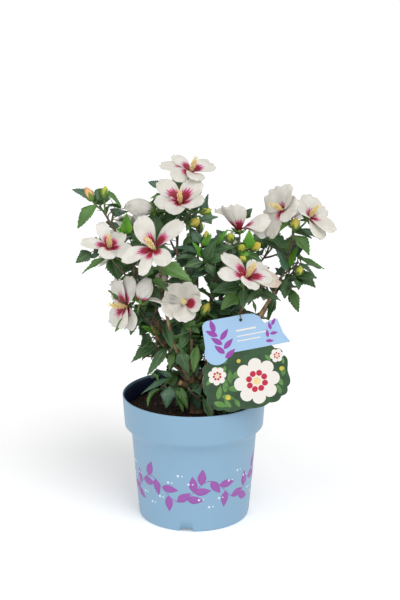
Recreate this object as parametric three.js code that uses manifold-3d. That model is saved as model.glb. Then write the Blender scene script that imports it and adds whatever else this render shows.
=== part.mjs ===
// A young rose of Sharon (hibiscus shrub) in bloom, in a round nursery pot, with a hang label on one stem.
// Millimetres, +Z up. The origin is on the pot's axis at its flat underside, and the label faces -Y.
import * as THREE from "three";
import { mergeVertices } from "three/addons/utils/BufferGeometryUtils.js";
import Module from "manifold-3d";

const wasm = await Module();
wasm.setup();

// ---------- driving dimensions ----------

const clear = 0.3; // gap between neighbouring solids
const degree = Math.PI / 180;
const goldenTurn = 137.5 * degree; // from one leaf to the next round a stem

const pot = {
  height: 168,
  rimRadius: 95,
  rimLand: 1.2, // flat top of the rim
  lipFoot: 127, // where the deep lip starts to run in
  lipFootRadius: 92.3,
  shoulder: 117, // where it has reached the body
  shoulderRadius: 83.4,
  baseRadius: 74,
  baseRound: 2.5,
  wall: 2,
  floor: 8,
  sides: 28,
};
const drain = { count: 4, firstTurn: -97.5, width: 20, height: 5, inner: 34, holeRadius: 5, holeAt: 52 };
const soil = { top: 148, edgeDrop: 3, flatRadius: 34 };
const trunk = {
  foot: [4, -18, soil.top - 3],
  top: [-1, -15, 188],
  footRadius: 6.8,
  topRadius: 5.6,
  flare: 3.4, // root flare at the soil
  sides: 8,
  steps: 5,
};
const stub = { at: 0.8, tip: [-17, -26, 190], foot: 4.2, end: 3.8 }; // an old leader, cut back

// Boughs: on is the parent, at the share of its length where the bough leaves it, tip where the foliage
// takes over, sweep how far the bough swings out before it turns up.
const boughs = {
  bough_left: { on: "trunk", at: 0.72, tip: [-57, -8, 292], sweep: 6, foot: 3.6, end: 2.2 },
  bough_top: { on: "trunk", at: 0.97, tip: [-19, -4, 336], sweep: -4, foot: 3.4, end: 2 },
  bough_right: { on: "trunk", at: 0.7, tip: [105, 12, 303], sweep: 10, foot: 3.4, end: 2.1 },
  bough_front: { on: "trunk", at: 0.9, tip: [-36, -56, 300], sweep: 9, foot: 3.2, end: 2 },
  bough_centre: { on: "trunk", at: 0.92, tip: [24, 8, 305], sweep: 4, foot: 3, end: 2 },
  bough_front_right: { on: "trunk", at: 0.62, tip: [62, -58, 306], sweep: 12, foot: 3, end: 2 },
  bough_middle: { on: "trunk", at: 0.95, tip: [-3, -46, 257], sweep: 6, foot: 2.6, end: 1.9 },
  bough_inner: { on: "trunk", at: 0.8, tip: [30, -26, 262], sweep: 5, foot: 2.6, end: 1.8 },
  bough_back_left: { on: "trunk", at: 0.6, tip: [-58, 56, 288], sweep: 8, foot: 3.2, end: 2 },
  bough_back: { on: "trunk", at: 0.85, tip: [4, 66, 300], sweep: 8, foot: 3.2, end: 2 },
  bough_back_right: { on: "trunk", at: 0.55, tip: [66, 62, 286], sweep: 8, foot: 3, end: 2 },
  bough_back_low: { on: "trunk", at: 0.42, tip: [-14, 58, 226], sweep: 4, foot: 2.4, end: 1.7 },
  bough_left_front: { on: "bough_left", at: 0.62, tip: [-69, -30, 303], sweep: 5, foot: 2.2, end: 1.8 },
  bough_left_low: { on: "bough_left", at: 0.5, tip: [-54, -38, 272], sweep: 5, foot: 2.1, end: 1.7 },
  bough_low_left: { on: "bough_left", at: 0.26, tip: [-36, -34, 230], sweep: 3, foot: 1.9, end: 1.6 },
  bough_right_low: { on: "bough_right", at: 0.6, tip: [96, 38, 272], sweep: 5, foot: 2.1, end: 1.7 },
};

// Foliage: each spray is one stem that carries on from a bough, or leaves the trunk, and its side twigs.
// bare is the share of that stem with no leaves, leaf the length of a full leaf with its stalk. A bloom has
// its heart, the way it faces (turn about Z, lift above the level), roll about that axis, a size, and five
// petals: how far each is turned out of its even place, spreads from the axis, and reaches. A bud only has
// its place.
const evenly = (spread) => [0, 4, -3, 2, -4].map((change) => [0, spread + change, 1]);
const sprays = {
  far_left_spray: {
    on: "bough_left", tip: [-121, 2, 421], bare: 0.4, twigs: 2, leaf: 50, seed: 11,
    blooms: [{ heart: [-38, 18, 308], turn: 235, lift: 50, roll: 33, size: 0.7, petals: evenly(22) }],
    buds: [[-134, 0, 436], [-114, 3, 438]],
  },
  left_spray: {
    on: "bough_left_front", tip: [-98, -42, 354], bare: 0.1, twigs: 4, leaf: 52, seed: 23,
    blooms: [
      {
        heart: [-107, -32, 373], turn: 275, lift: 55, roll: 312, size: 0.94,
        petals: [[10, 80, 0.72], [-3, 64, 0.96], [-14, 79, 0.96], [2, 60, 0.96], [-14, 66, 0.98]],
      },
    ],
    buds: [],
  },
  lower_left_spray: {
    on: "bough_left_low", tip: [-68, -44, 290], bare: 0.1, twigs: 3, leaf: 50, seed: 31,
    blooms: [
      {
        heart: [-85, -46, 300], turn: 215, lift: 12, roll: 346, size: 1,
        petals: [[8, 82, 0.97], [-24, 72, 0.9], [6, 88, 0.98], [30, 62, 0.95], [26, 84, 0.92]],
      },
      {
        heart: [-66, -76, 317], turn: 330, lift: 70, roll: 79, size: 0.8,
        petals: [[14, 32, 0.96], [20, 26, 0.98], [-8, 33, 0.97], [10, 20, 0.96], [10, 90, 0.92]],
      },
    ],
    buds: [],
  },
  low_left_spray: {
    on: "bough_low_left", tip: [-56, -44, 246], bare: 0, twigs: 2, leaf: 56, seed: 47,
    blooms: [], buds: [],
  },
  front_spray: {
    on: "bough_front", tip: [-42, -74, 364], bare: 0.1, twigs: 4, leaf: 52, seed: 53,
    blooms: [
      {
        heart: [-48, -88, 386], turn: 239, lift: 40, roll: 324, size: 1.06,
        petals: [[2, 86, 1.1], [-2, 50, 1.02], [20, 76, 0.97], [4, 77, 0.98], [-15, 73, 0.96]],
      },
    ],
    buds: [],
  },
  middle_spray: {
    on: "bough_middle", tip: [4, -54, 290], bare: 0, twigs: 3, leaf: 50, seed: 61,
    blooms: [
      {
        heart: [-4, -68, 311], turn: 250, lift: 24, roll: 333, size: 0.9,
        petals: [[-4, 40, 0.98], [2, 43, 0.98], [-8, 45, 0.98], [-4, 38, 0.98], [0, 43, 0.98]],
      },
    ],
    buds: [[15, -60, 300]],
  },
  top_spray: {
    on: "bough_top", tip: [-12, 2, 424], bare: 0.16, twigs: 4, leaf: 50, seed: 71,
    blooms: [
      {
        heart: [-4, 12, 463], turn: 302, lift: 58, roll: 263, size: 0.9,
        petals: [[14, 81, 0.96], [46, 86, 0.86], [8, 97, 1.1], [-12, 86, 0.95], [-30, 66, 0.95]],
      },
      {
        heart: [-17, -22, 429], turn: 263, lift: 53, roll: 326, size: 0.92,
        petals: [[-12, 64, 1.02], [18, 58, 1.04], [8, 63, 0.96], [-15, 61, 0.96], [-4, 64, 0.96]],
      },
      { heart: [-52, -20, 418], turn: 192, lift: 10, roll: 14, size: 0.84, petals: evenly(22) },
    ],
    buds: [[1, -20, 404], [15, -8, 416]],
  },
  inner_spray: {
    on: "bough_inner", tip: [27, -34, 342], bare: 0.1, twigs: 4, leaf: 52, seed: 83,
    blooms: [], buds: [[17, -18, 384]],
  },
  centre_spray: {
    on: "bough_centre", tip: [54, -6, 372], bare: 0.12, twigs: 3, leaf: 50, seed: 97,
    blooms: [
      {
        heart: [58, -5, 391], turn: 150, lift: 80, roll: 128, size: 1,
        petals: [[34, 42, 0.98], [18, 24, 0.98], [4, 28, 0.98], [4, 80, 1], [-16, 108, 0.95]],
      },
    ],
    buds: [[47, -24, 385], [61, -34, 374], [78, -28, 374], [62, -40, 361]],
  },
  right_spray: {
    on: "bough_right", tip: [128, 8, 384], bare: 0.2, twigs: 3, leaf: 50, seed: 101,
    blooms: [
      {
        heart: [115, 4, 415], turn: 215, lift: 28, roll: 356, size: 0.95,
        petals: [[-16, 67, 0.96], [-6, 78, 0.96], [-34, 90, 0.94], [-32, 87, 1.02], [-8, 75, 0.96]],
      },
      {
        heart: [148, 2, 405], turn: 310, lift: 50, roll: 342, size: 0.93,
        petals: [[-18, 80, 0.96], [20, 54, 0.96], [32, 86, 0.96], [0, 72, 1.02], [16, 88, 0.94]],
      },
    ],
    buds: [[130, -12, 400]],
  },
  right_low_spray: {
    on: "bough_right_low", tip: [130, 20, 328], bare: 0.1, twigs: 3, leaf: 54, seed: 113,
    blooms: [], buds: [[137, 4, 334]],
  },
  front_right_spray: {
    on: "bough_front_right", tip: [68, -68, 330], bare: 0.2, twigs: 3, leaf: 50, seed: 127,
    blooms: [
      {
        heart: [66, -80, 348], turn: 308, lift: 56, roll: 304, size: 1,
        petals: [[-10, 88, 0.92], [12, 79, 1], [-14, 88, 0.97], [-8, 73, 0.72], [-4, 76, 1.04]],
      },
    ],
    buds: [],
  },
  basal_left_spray: {
    on: "trunk", at: 0.5, tip: [-46, -44, 196], bare: 0.2, twigs: 2, leaf: 50, seed: 131,
    blooms: [], buds: [],
  },
  basal_front_spray: {
    on: "trunk", at: 0.38, tip: [8, -60, 184], bare: 0.2, twigs: 2, leaf: 52, seed: 149,
    blooms: [], buds: [],
  },
  basal_right_spray: {
    on: "trunk", at: 0.36, tip: [50, -22, 192], bare: 0.2, twigs: 3, leaf: 52, seed: 151,
    blooms: [], buds: [],
  },
  back_left_spray: {
    on: "bough_back_left", tip: [-84, 78, 352], bare: 0.05, twigs: 3, leaf: 52, seed: 163,
    blooms: [
      { heart: [-79, 90, 360], turn: 128, lift: 44, roll: 20, size: 0.92, petals: evenly(50) },
      { heart: [-97, 56, 332], turn: 150, lift: 24, roll: 50, size: 0.82, petals: evenly(42) },
    ],
    buds: [[-64, 84, 380]],
  },
  back_spray: {
    on: "bough_back", tip: [8, 78, 390], bare: 0.05, twigs: 3, leaf: 52, seed: 173,
    blooms: [
      { heart: [-15, 88, 400], turn: 100, lift: 40, roll: 75, size: 0.92, petals: evenly(48) },
      { heart: [49, 104, 317], turn: 80, lift: 30, roll: 10, size: 0.9, petals: evenly(50) },
    ],
    buds: [[8, 88, 372]],
  },
  back_right_spray: {
    on: "bough_back_right", tip: [104, 80, 344], bare: 0.05, twigs: 3, leaf: 52, seed: 181,
    blooms: [
      { heart: [122, 82, 383], turn: 48, lift: 46, roll: 130, size: 0.9, petals: evenly(48) },
      { heart: [67, 100, 286], turn: 70, lift: 14, roll: 90, size: 0.82, petals: evenly(44) },
    ],
    buds: [[104, 92, 356]],
  },
  back_low_spray: {
    on: "bough_back_low", tip: [-26, 90, 262], bare: 0, twigs: 2, leaf: 54, seed: 191,
    blooms: [{ heart: [-18, 104, 266], turn: 100, lift: 26, roll: 60, size: 0.9, petals: evenly(50) }],
    buds: [],
  },
};

const twigSize = { foot: 1.5, end: 1.1, shortest: 20, longest: 38, steps: 2 };
const stalkSize = { foot: 1.5, end: 1.3, steps: 2 }; // carries a bloom or a bud
const leafRule = {
  spacing: 28, // along a stem or twig
  width: 0.66, // shares of the length, also the ones below
  widest: 0.44,
  bare: 0.16, // the stalk, which may touch other leaves of its spray
  fold: 0.06,
  droop: 0.14,
  thickness: 1.2,
  sunk: 1.4,
  tries: [0, 1.2, -1.2],
};
const petalSize = {
  count: 5,
  length: 41,
  width: 28,
  widest: 0.62,
  notch: 0.24,
  thickness: 1,
  hollow: 2.5,
  curl: 3,
};
const calyx = { length: 11, radius: 4.8, stalkEnd: 6.5 };
const column = { length: 29, radius: 3 };
const budSize = { length: 15, radius: 5.2, sides: 5, rings: 3 };
const bloomView = { reach: 60, halfAngle: 32 * degree }; // no leaf stands in front of a bloom
const crown = { left: -157, right: 179, front: -128, back: 150, top: 470 }; // no leaf reaches past these

const label = {
  hole: [59, -78, 292],
  yaw: 12, // its right side stands further back
  roll: 7, // its right side hangs higher
  lean: 6, // its top leans back
  thickness: 0.8,
  holeRadius: 2.1,
  header: { left: -50, right: 60, low: -39.6, top: 6.4, shoulder: 18, round: 8 },
  lobe: { centre: [-36, -36], radius: 16 },
  picture: { centre: [-3, -76], halfWidth: 57, halfHeight: 41, squareness: 0.66, scallops: 15, scallop: 2.6 },
};
const tie = { wire: 0.6, at: 0.93, halfSides: 3, steps: 20 };

// ---------- vectors ----------

const add = (a, b) => a.map((v, i) => v + b[i]);
const subtract = (a, b) => a.map((v, i) => v - b[i]);
const scale = (a, k) => a.map((v) => v * k);
const dot = (a, b) => a[0] * b[0] + a[1] * b[1] + a[2] * b[2];
const cross = (a, b) => [a[1] * b[2] - a[2] * b[1], a[2] * b[0] - a[0] * b[2], a[0] * b[1] - a[1] * b[0]];
const size = (a) => Math.sqrt(dot(a, a));
const unit = (a) => scale(a, 1 / size(a));
const mix = (a, b, t) => a.map((v, i) => v + (b[i] - v) * t);
const across = (a, along) => unit(subtract(a, scale(along, dot(a, along))));
const up = [0, 0, 1];

const heading = (turn, lift) => [
  Math.cos(lift * degree) * Math.cos(turn * degree),
  Math.cos(lift * degree) * Math.sin(turn * degree),
  Math.sin(lift * degree),
];

// The direction square to along at an angle round it.
function around(along, angle) {
  const side = across(Math.abs(along[2]) < 0.9 ? up : [1, 0, 0], along);
  return add(scale(side, Math.cos(angle)), scale(cross(along, side), Math.sin(angle)));
}

// A number from 0 to 1 at each call, the same in every run.
function seeded(seed) {
  let state = seed >>> 0;
  return () => {
    state = (Math.imul(state, 1664525) + 1013904223) >>> 0;
    return state / 4294967296;
  };
}

// ---------- limbs as curves ----------

function bentLine(start, middle, end) {
  const point = (t) => mix(mix(start, middle, t), mix(middle, end, t), t);
  const along = (t) => unit(mix(subtract(middle, start), subtract(end, middle), t));
  return { point, along, length: size(subtract(middle, start)) + size(subtract(end, middle)) };
}

// A bough's centre line: it swings outward and then turns up.
function boughLine(start, tip, sweep) {
  const outward = unit([tip[0] - start[0], tip[1] - start[1], 0]);
  return bentLine(start, add(mix(start, tip, 0.5), add(scale(outward, sweep), [0, 0, -sweep])), tip);
}

// A line that leaves start along one direction and ends at tip.
const leavingLine = (start, direction, tip, share = 0.5) =>
  bentLine(start, add(start, scale(direction, size(subtract(tip, start)) * share)), tip);

// A line from start that reaches tip along the given direction.
const arrivingLine = (start, tip, direction, share = 0.5) =>
  bentLine(start, subtract(tip, scale(direction, size(subtract(tip, start)) * share)), tip);

// ---------- solids ----------

// A closed three.js geometry as a solid: shared corners merged, and triangles with no area left out.
function toSolid(geometry) {
  const bare = geometry.clone();
  bare.deleteAttribute("normal");
  bare.deleteAttribute("uv");
  const merged = mergeVertices(bare, 1e-4);
  const corners = [];
  for (let i = 0; i < merged.index.count; i += 3) {
    const [a, b, c] = [0, 1, 2].map((k) => merged.index.getX(i + k));
    if (a !== b && b !== c && c !== a) corners.push(a, b, c);
  }
  return new wasm.Manifold(
    new wasm.Mesh({
      numProp: 3,
      vertProperties: new Float32Array(merged.getAttribute("position").array),
      triVerts: new Uint32Array(corners),
    }),
  );
}

function toGeometry(solid) {
  const mesh = solid.getMesh();
  const geometry = new THREE.BufferGeometry();
  geometry.setAttribute("position", new THREE.BufferAttribute(mesh.vertProperties, 3));
  geometry.setIndex(new THREE.BufferAttribute(mesh.triVerts, 1));
  geometry.computeVertexNormals();
  return geometry;
}

const shortest = 0.02; // edges below this are closed up after a join

// The main closed body of a join, without loose scraps or sealed hollows.
function mainBody(solid) {
  const bodies = solid.simplify(shortest).decompose();
  return bodies.reduce((best, body) => (body.volume() > best.volume() ? body : best));
}

const join = (solids) => wasm.Manifold.union(solids);

// A tapering limb: a cylinder bent along a line. flare widens its foot, grow thickens it all over.
function limbSolid(line, foot, end, { sides = 6, steps = 6, flare = 0, grow = 0, overrun = 0 }) {
  const geometry = new THREE.CylinderGeometry(1, 1, 1, sides, steps);
  const place = geometry.getAttribute("position");
  const reference = around(line.along(0.5), 0);
  for (let i = 0; i < place.count; i += 1) {
    const t = place.getY(i) + 0.5;
    const along = line.along(t);
    const side = across(reference, along);
    const radius = foot + (end - foot) * t + flare * (1 - t) ** 4 + grow;
    const ring = add(scale(side, place.getX(i) * radius), scale(cross(side, along), place.getZ(i) * radius));
    const past = scale(along, t > 0.999 ? overrun : t < 0.001 ? -overrun : 0);
    place.setXYZ(i, ...add(add(line.point(t), ring), past));
  }
  return toSolid(geometry);
}

// A closed solid from its corners and its faces.
function facetSolid(points, faces) {
  const geometry = new THREE.BufferGeometry();
  geometry.setAttribute("position", new THREE.Float32BufferAttribute(points.flat(), 3));
  geometry.setIndex(faces.flat());
  return toSolid(geometry);
}

// Places a point by its share of the length along, its offset to the right and its rise towards the face.
function placer(root, along, facing, length) {
  const face = across(facing, along);
  const right = cross(along, face);
  return (share, offset, rise) =>
    add(root, add(scale(along, share * length), add(scale(right, offset), scale(face, rise))));
}

// A leaf is a folded kite of eight faces, thickest at its midrib. Its root is sunk past the twig's middle.
// grow makes the test shape, a little larger than the leaf itself.
function leafSolid(root, along, facing, length, grow = 0) {
  const { widest, sunk, thickness } = leafRule;
  const at = placer(subtract(root, scale(along, sunk)), along, facing, length + sunk + grow);
  const wide = (length * leafRule.width) / 2 + grow;
  const rise = length * leafRule.fold;
  const half = thickness / 2 + grow;
  const points = [
    at(0, 0, 0),
    at(widest, wide, rise),
    at(1, 0, -length * leafRule.droop),
    at(widest, -wide, rise),
    at(widest, 0, half),
    at(widest, 0, -half),
  ];
  const [foot, right, tip, left, top, low] = [0, 1, 2, 3, 4, 5];
  const upper = [[foot, right, top], [right, tip, top], [tip, left, top], [left, foot, top]];
  const lower = [[right, foot, low], [tip, right, low], [left, tip, low], [foot, left, low]];
  return facetSolid(points, [...upper, ...lower]);
}

// A bloom: five petals joined at their feet as a thin star-shaped bowl, with the column standing up in its
// middle and the calyx tapering behind it to the stalk.
function bloomSolid({ heart, turn, lift, roll, size: grown, petals }) {
  const { count, widest, notch, hollow, curl, thickness } = petalSize;
  const axis = heading(turn, lift);
  const angleOf = (i) => (roll + petals[(i + count) % count][0] + (i * 360) / count) * degree;
  const lean = (angle, open) => add(scale(axis, Math.cos(open)), scale(around(axis, angle), Math.sin(open)));
  const ring = (angle, radius, rise) =>
    add(heart, add(scale(around(axis, angle), radius), scale(axis, rise)));
  const points = [
    add(heart, scale(axis, column.length * grown)),
    subtract(heart, scale(axis, calyx.length * grown)),
  ];
  const faces = [];
  const perPetal = 9;
  for (let i = 0; i < count; i += 1) {
    const [, spread, reach] = petals[i];
    const length = petalSize.length * grown * reach;
    const open = spread * degree;
    const halfOpen = (open + petals[(i + count - 1) % count][1] * degree) / 2;
    const angle = angleOf(i);
    const between = (angleOf(i - 1) + angle) / 2;
    const room = Math.tan(Math.min(angle - between, (angleOf(i + 1) - angle) / 2)) * length * widest;
    const wide = Math.min((petalSize.width * grown) / 2, room * Math.sin(open) * 0.94);
    const core = Math.min(column.radius, length * notch * Math.sin(halfOpen) * 0.8);
    const valley = lean(between, halfOpen);
    const at = placer(heart, lean(angle, open), axis, length);
    const first = points.length;
    points.push(
      add(heart, scale(valley, length * notch)),
      at(widest, wide, 0),
      at(0.98, wide * 0.6, -curl),
      at(0.98, -wide * 0.6, -curl),
      at(widest, -wide, 0),
      at(widest, 0, thickness / 2 - hollow),
      at(widest, 0, -thickness / 2 - hollow),
      ring(between, core, thickness),
      ring(between, calyx.radius * grown, -thickness),
    );
    const next = i === count - 1 ? 2 : first + perPetal;
    const rim = [first, first + 1, first + 2, first + 3, first + 4, next];
    const [front, back, base, mouth] = [5, 6, 7, 8].map((k) => first + k);
    const [nextBase, nextMouth] = [next + 7, next + 8];
    faces.push([base, first, front], [base, front, nextBase], [nextBase, front, next]);
    faces.push([mouth, back, first], [mouth, nextMouth, back], [nextMouth, next, back]);
    faces.push([0, base, nextBase], [1, nextMouth, mouth]);
    for (let k = 0; k < rim.length - 1; k += 1) {
      faces.push([rim[k], rim[k + 1], front], [rim[k + 1], rim[k], back]);
    }
  }
  return facetSolid(points, faces);
}

function budSolid(place, axis) {
  const geometry = new THREE.SphereGeometry(1, budSize.sides, budSize.rings);
  geometry.scale(budSize.radius, budSize.length / 2, budSize.radius);
  const upright = new THREE.Vector3(0, 1, 0);
  geometry.applyQuaternion(new THREE.Quaternion().setFromUnitVectors(upright, new THREE.Vector3(...axis)));
  geometry.translate(...place);
  return toSolid(geometry);
}

// ---------- pot and soil ----------

// A profile of [radius, height] turned about the Z axis.
function turned(profile) {
  const points = profile.map(([radius, height]) => new THREE.Vector2(radius, height));
  return toSolid(new THREE.LatheGeometry(points, pot.sides).rotateX(Math.PI / 2));
}

const bodySlope = (pot.shoulderRadius - pot.baseRadius) / pot.shoulder;
const lipSlope = (pot.rimRadius - pot.lipFootRadius) / (pot.height - pot.lipFoot);
const innerBody = (z) => pot.baseRadius + bodySlope * z - pot.wall;
const innerLip = (z) => pot.lipFootRadius + lipSlope * (z - pot.lipFoot) - pot.wall;

function potSolid() {
  const shell = turned([
    [0, 0],
    [pot.baseRadius - pot.baseRound, 0],
    [pot.baseRadius, pot.baseRound],
    [pot.shoulderRadius, pot.shoulder],
    [pot.shoulderRadius + 3.2, pot.shoulder + 4.2],
    [pot.lipFootRadius, pot.lipFoot],
    [pot.rimRadius, pot.height - 1],
    [pot.rimRadius - 0.6, pot.height],
    [pot.rimRadius - 0.6 - pot.rimLand, pot.height],
    [innerLip(pot.height - 1), pot.height - 1],
    [innerLip(pot.lipFoot + 1), pot.lipFoot + 1],
    [innerBody(pot.shoulder) + 3.4, pot.shoulder + 5.4],
    [innerBody(pot.shoulder), pot.shoulder + 1],
    [innerBody(pot.floor), pot.floor],
    [0, pot.floor],
  ]);
  const cuts = Array.from({ length: drain.count }, (_, i) => {
    const angle = drain.firstTurn * degree + (i * 2 * Math.PI) / drain.count;
    const length = pot.baseRadius + 10 - drain.inner;
    const channel = new THREE.BoxGeometry(length, drain.width, drain.height * 2);
    channel.translate(drain.inner + length / 2, 0, 0);
    const hole = new THREE.CylinderGeometry(drain.holeRadius, drain.holeRadius, pot.floor * 3, 8);
    hole.rotateX(Math.PI / 2);
    hole.translate(drain.holeAt, 0, 0);
    return [channel, hole].map((geometry) => toSolid(geometry.rotateZ(angle)));
  });
  return shell.subtract(join(cuts.flat()));
}

function soilSolid() {
  const edge = soil.top - soil.edgeDrop;
  const gap = clear + 0.1;
  return turned([
    [0, pot.floor + clear],
    [innerBody(pot.floor) - gap, pot.floor + clear],
    [innerBody(pot.shoulder) - gap, pot.shoulder + 1 + clear],
    [innerBody(pot.shoulder) + 3.4 - gap, pot.shoulder + 5.4 + clear],
    [innerLip(pot.lipFoot + 1) - gap, pot.lipFoot + 1 + clear],
    [innerLip(edge) - gap, edge],
    [soil.flatRadius, soil.top],
    [0, soil.top],
  ]);
}

// ---------- label ----------

// The header: a bar whose top right corner is cut off at a slant, with a round lobe under its left end.
function headerShape() {
  const { left, right, low, top, shoulder, round } = label.header;
  const shape = new THREE.Shape();
  shape.moveTo(right, low);
  shape.lineTo(right - round, low + 14);
  shape.quadraticCurveTo(right - round - 2, top - 12, right - round - 14, top - 14);
  shape.lineTo(shoulder + 12, top - 16);
  shape.quadraticCurveTo(shoulder + 4, top, shoulder - 10, top);
  shape.lineTo(left + round, top);
  shape.quadraticCurveTo(left, top, left, top - round);
  shape.lineTo(left, low + round);
  shape.quadraticCurveTo(left, low, left + round, low);
  shape.closePath();
  return shape;
}

function scallopedShape() {
  const { centre, halfWidth, halfHeight, squareness, scallops, scallop } = label.picture;
  const count = scallops * 3;
  const points = Array.from({ length: count }, (_, i) => {
    const angle = (i * 2 * Math.PI) / count;
    const wave = scallop * (Math.abs(Math.sin((angle * scallops) / 2)) - 1);
    const [x, y] = [Math.cos(angle), Math.sin(angle)].map((v) => Math.sign(v) * Math.abs(v) ** squareness);
    return new THREE.Vector2(centre[0] + (halfWidth + wave) * x, centre[1] + (halfHeight + wave) * y);
  });
  return new THREE.Shape(points);
}

// A card cut to a shape, from low to low + depth in front of the label's middle plane.
function cardSolid(shape, low, depth) {
  const geometry = new THREE.ExtrudeGeometry(shape, { depth, bevelEnabled: false, curveSegments: 5 });
  return toSolid(geometry.translate(0, 0, low));
}

function labelSolid() {
  const { thickness, holeRadius, lobe } = label;
  const round = new THREE.Shape().absarc(...lobe.centre, lobe.radius, 0, 2 * Math.PI);
  const front = [headerShape(), round].map((shape) => cardSolid(shape, -thickness / 2, thickness * 1.5));
  const back = cardSolid(scallopedShape(), -thickness, thickness);
  const hole = new THREE.Shape().absarc(0, 0, holeRadius, 0, 2 * Math.PI);
  return mainBody(join([...front, back]).subtract(cardSolid(hole, -5, 10)));
}

// ---------- growing the plant ----------

const solids = {}; // each node's solid, by name
const lines = {}; // each limb's centre line, by name

// The trunk leans, and its foot is a level cut that stands on the soil.
function trunkSolid() {
  const whole = limbSolid(lines.trunk, trunk.footRadius, trunk.topRadius, trunk);
  const depth = 20;
  const ground = new THREE.BoxGeometry(soil.flatRadius, soil.flatRadius, depth);
  ground.translate(trunk.foot[0], trunk.foot[1], soil.top + clear - depth / 2);
  return mainBody(whole.subtract(toSolid(ground)));
}

lines.trunk = bentLine(trunk.foot, mix(trunk.foot, trunk.top, 0.5), trunk.top);
solids.trunk = trunkSolid();
solids.pot = potSolid();
solids.soil = soilSolid();

// The space that a new limb keeps clear of.
const trunkSpace = { ...trunk, grow: clear * 1.1, overrun: clear };
const limbs = [[lines.trunk, trunk.footRadius, trunk.topRadius, trunkSpace]];

// The part of a new limb that stands clear of every limb before it.
function cutClear(solid) {
  return mainBody(solid.subtract(join(limbs.map((limb) => limbSolid(...limb)))));
}

function growLimb(name, { on, at, tip, sweep = 0, foot, end }, sides) {
  const line = boughLine(lines[on].point(at), tip, sweep);
  lines[name] = line;
  solids[name] = cutClear(limbSolid(line, foot, end, { sides, steps: 4 }));
  limbs.push([line, foot, end, { sides, steps: 4, grow: clear * 1.3, overrun: clear * 0.9 }]);
}

growLimb("pruned_stub", { on: "trunk", ...stub }, 7);
for (const [name, bough] of Object.entries(boughs)) growLimb(name, bough, 5);

// The stem of a spray carries straight on from its bough, or stands off the trunk.
function stemOf(spray) {
  if (spray.on === "trunk") {
    const line = boughLine(lines.trunk.point(spray.at), spray.tip, 3);
    return { line, solid: cutClear(limbSolid(line, 1.9, 1.3, { sides: 4, steps: 3 })) };
  }
  const bough = boughs[spray.on];
  const end = lines[spray.on].along(1);
  const start = add(lines[spray.on].point(1), scale(end, clear));
  const line = leavingLine(start, end, spray.tip);
  return { line, solid: limbSolid(line, bough.end * 0.96, 1.3, { sides: 4, steps: 4 }) };
}

// The share of a line at which a stalk to a place leaves it, a little below the nearest point.
function forkShare(line, place, away) {
  const shares = Array.from({ length: 21 }, (_, i) => i / 20);
  const distance = (t) => Math.abs(size(subtract(line.point(t), place)) - away);
  return shares.reduce((best, t) => (distance(t) < distance(best) ? t : best));
}

// The stem of each spray with its blooms and buds, before any leaf is placed.
const frames = {};
for (const [name, spray] of Object.entries(sprays)) {
  const { line, solid } = stemOf(spray);
  const blooms = spray.blooms.map(bloomSolid);
  const stalks = [];
  const nodes = [];
  const carry = (place, axis) => {
    const share = Math.max(forkShare(line, place, 24), 0.3);
    const stalk = arrivingLine(line.point(share), place, axis);
    stalks.push(limbSolid(stalk, stalkSize.foot, stalkSize.end, { sides: 3, steps: stalkSize.steps }));
    nodes.push({ line, share });
  };
  for (const { heart, turn, lift } of spray.blooms) {
    const axis = heading(turn, lift);
    carry(subtract(heart, scale(axis, calyx.stalkEnd)), axis);
  }
  for (const place of spray.buds) {
    const axis = unit(add(unit(subtract(place, line.point(forkShare(line, place, 24)))), [0, 0, 0.6]));
    blooms.push(budSolid(place, axis));
    carry(subtract(place, scale(axis, budSize.length * 0.3)), axis);
  }
  frames[name] = { line, nodes, stem: solid, stalks, blooms };
}

// The label hangs on its bough by a wire that runs through the hole and round behind the bough.
const tag = new THREE.Group();
tag.position.set(...label.hole);
tag.rotateZ(label.yaw * degree);
tag.rotateX(Math.PI / 2 - label.lean * degree);
tag.rotateZ(label.roll * degree);
tag.updateMatrixWorld();
const labelCard = labelSolid();

function tieSolid() {
  const bough = lines.bough_front_right.point(tie.at);
  const reach = boughs.bough_front_right.end + tie.wire + 0.7;
  const onCard = (u, v, w) => new THREE.Vector3(u, v, w).applyMatrix4(tag.matrixWorld).toArray();
  const hang = label.holeRadius - tie.wire - 0.4;
  const stops = [
    onCard(0, hang - 1.5, 4),
    onCard(0, hang, 0),
    onCard(1, hang + 2, -6),
    add(bough, [reach + 1.5, -2, 0]),
    add(bough, [0.5, reach, 1]),
    add(bough, [-reach - 2, -2, 2]),
    onCard(-3, label.header.top + 4, -3),
    onCard(-1, label.header.top + 1, 3.5),
    onCard(0, hang + 2.2, 4.4),
  ];
  const corners = stops.map((stop) => new THREE.Vector3(...stop));
  const path = new THREE.CatmullRomCurve3(corners, false, "centripetal");
  const section = new THREE.Shape().absarc(0, 0, tie.wire, 0, 2 * Math.PI);
  const options = { steps: tie.steps, extrudePath: path, curveSegments: tie.halfSides, bevelEnabled: false };
  return toSolid(new THREE.ExtrudeGeometry(section, options));
}
solids.label_tie = tieSolid();

// ---------- twigs and leaves ----------

const boxOf = (solid) => solid.boundingBox();
const boxesMeet = (a, b) => [0, 1, 2].every((k) => a.min[k] <= b.max[k] && b.min[k] <= a.max[k]);
const asItem = (solid) => ({ solid, box: boxOf(solid) });

// Everything that a leaf has to stay clear of.
const standing = [
  ...Object.values(solids).map(asItem),
  asItem(toSolid(toGeometry(labelCard).applyMatrix4(tag.matrixWorld))),
];
const flowering = Object.values(frames).flatMap(({ blooms }) => blooms.map(asItem));
const stems = Object.fromEntries(
  Object.entries(frames).map(([name, { stem, stalks }]) => [name, [stem, ...stalks].map(asItem)]),
);
const leaves = Object.fromEntries(Object.keys(frames).map((name) => [name, []]));
const views = Object.values(sprays).flatMap(({ blooms }) => blooms);

function hits(probe, items) {
  const box = boxOf(probe);
  return items.some((item) => boxesMeet(box, item.box) && !probe.intersect(item.solid).isEmpty());
}

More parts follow.
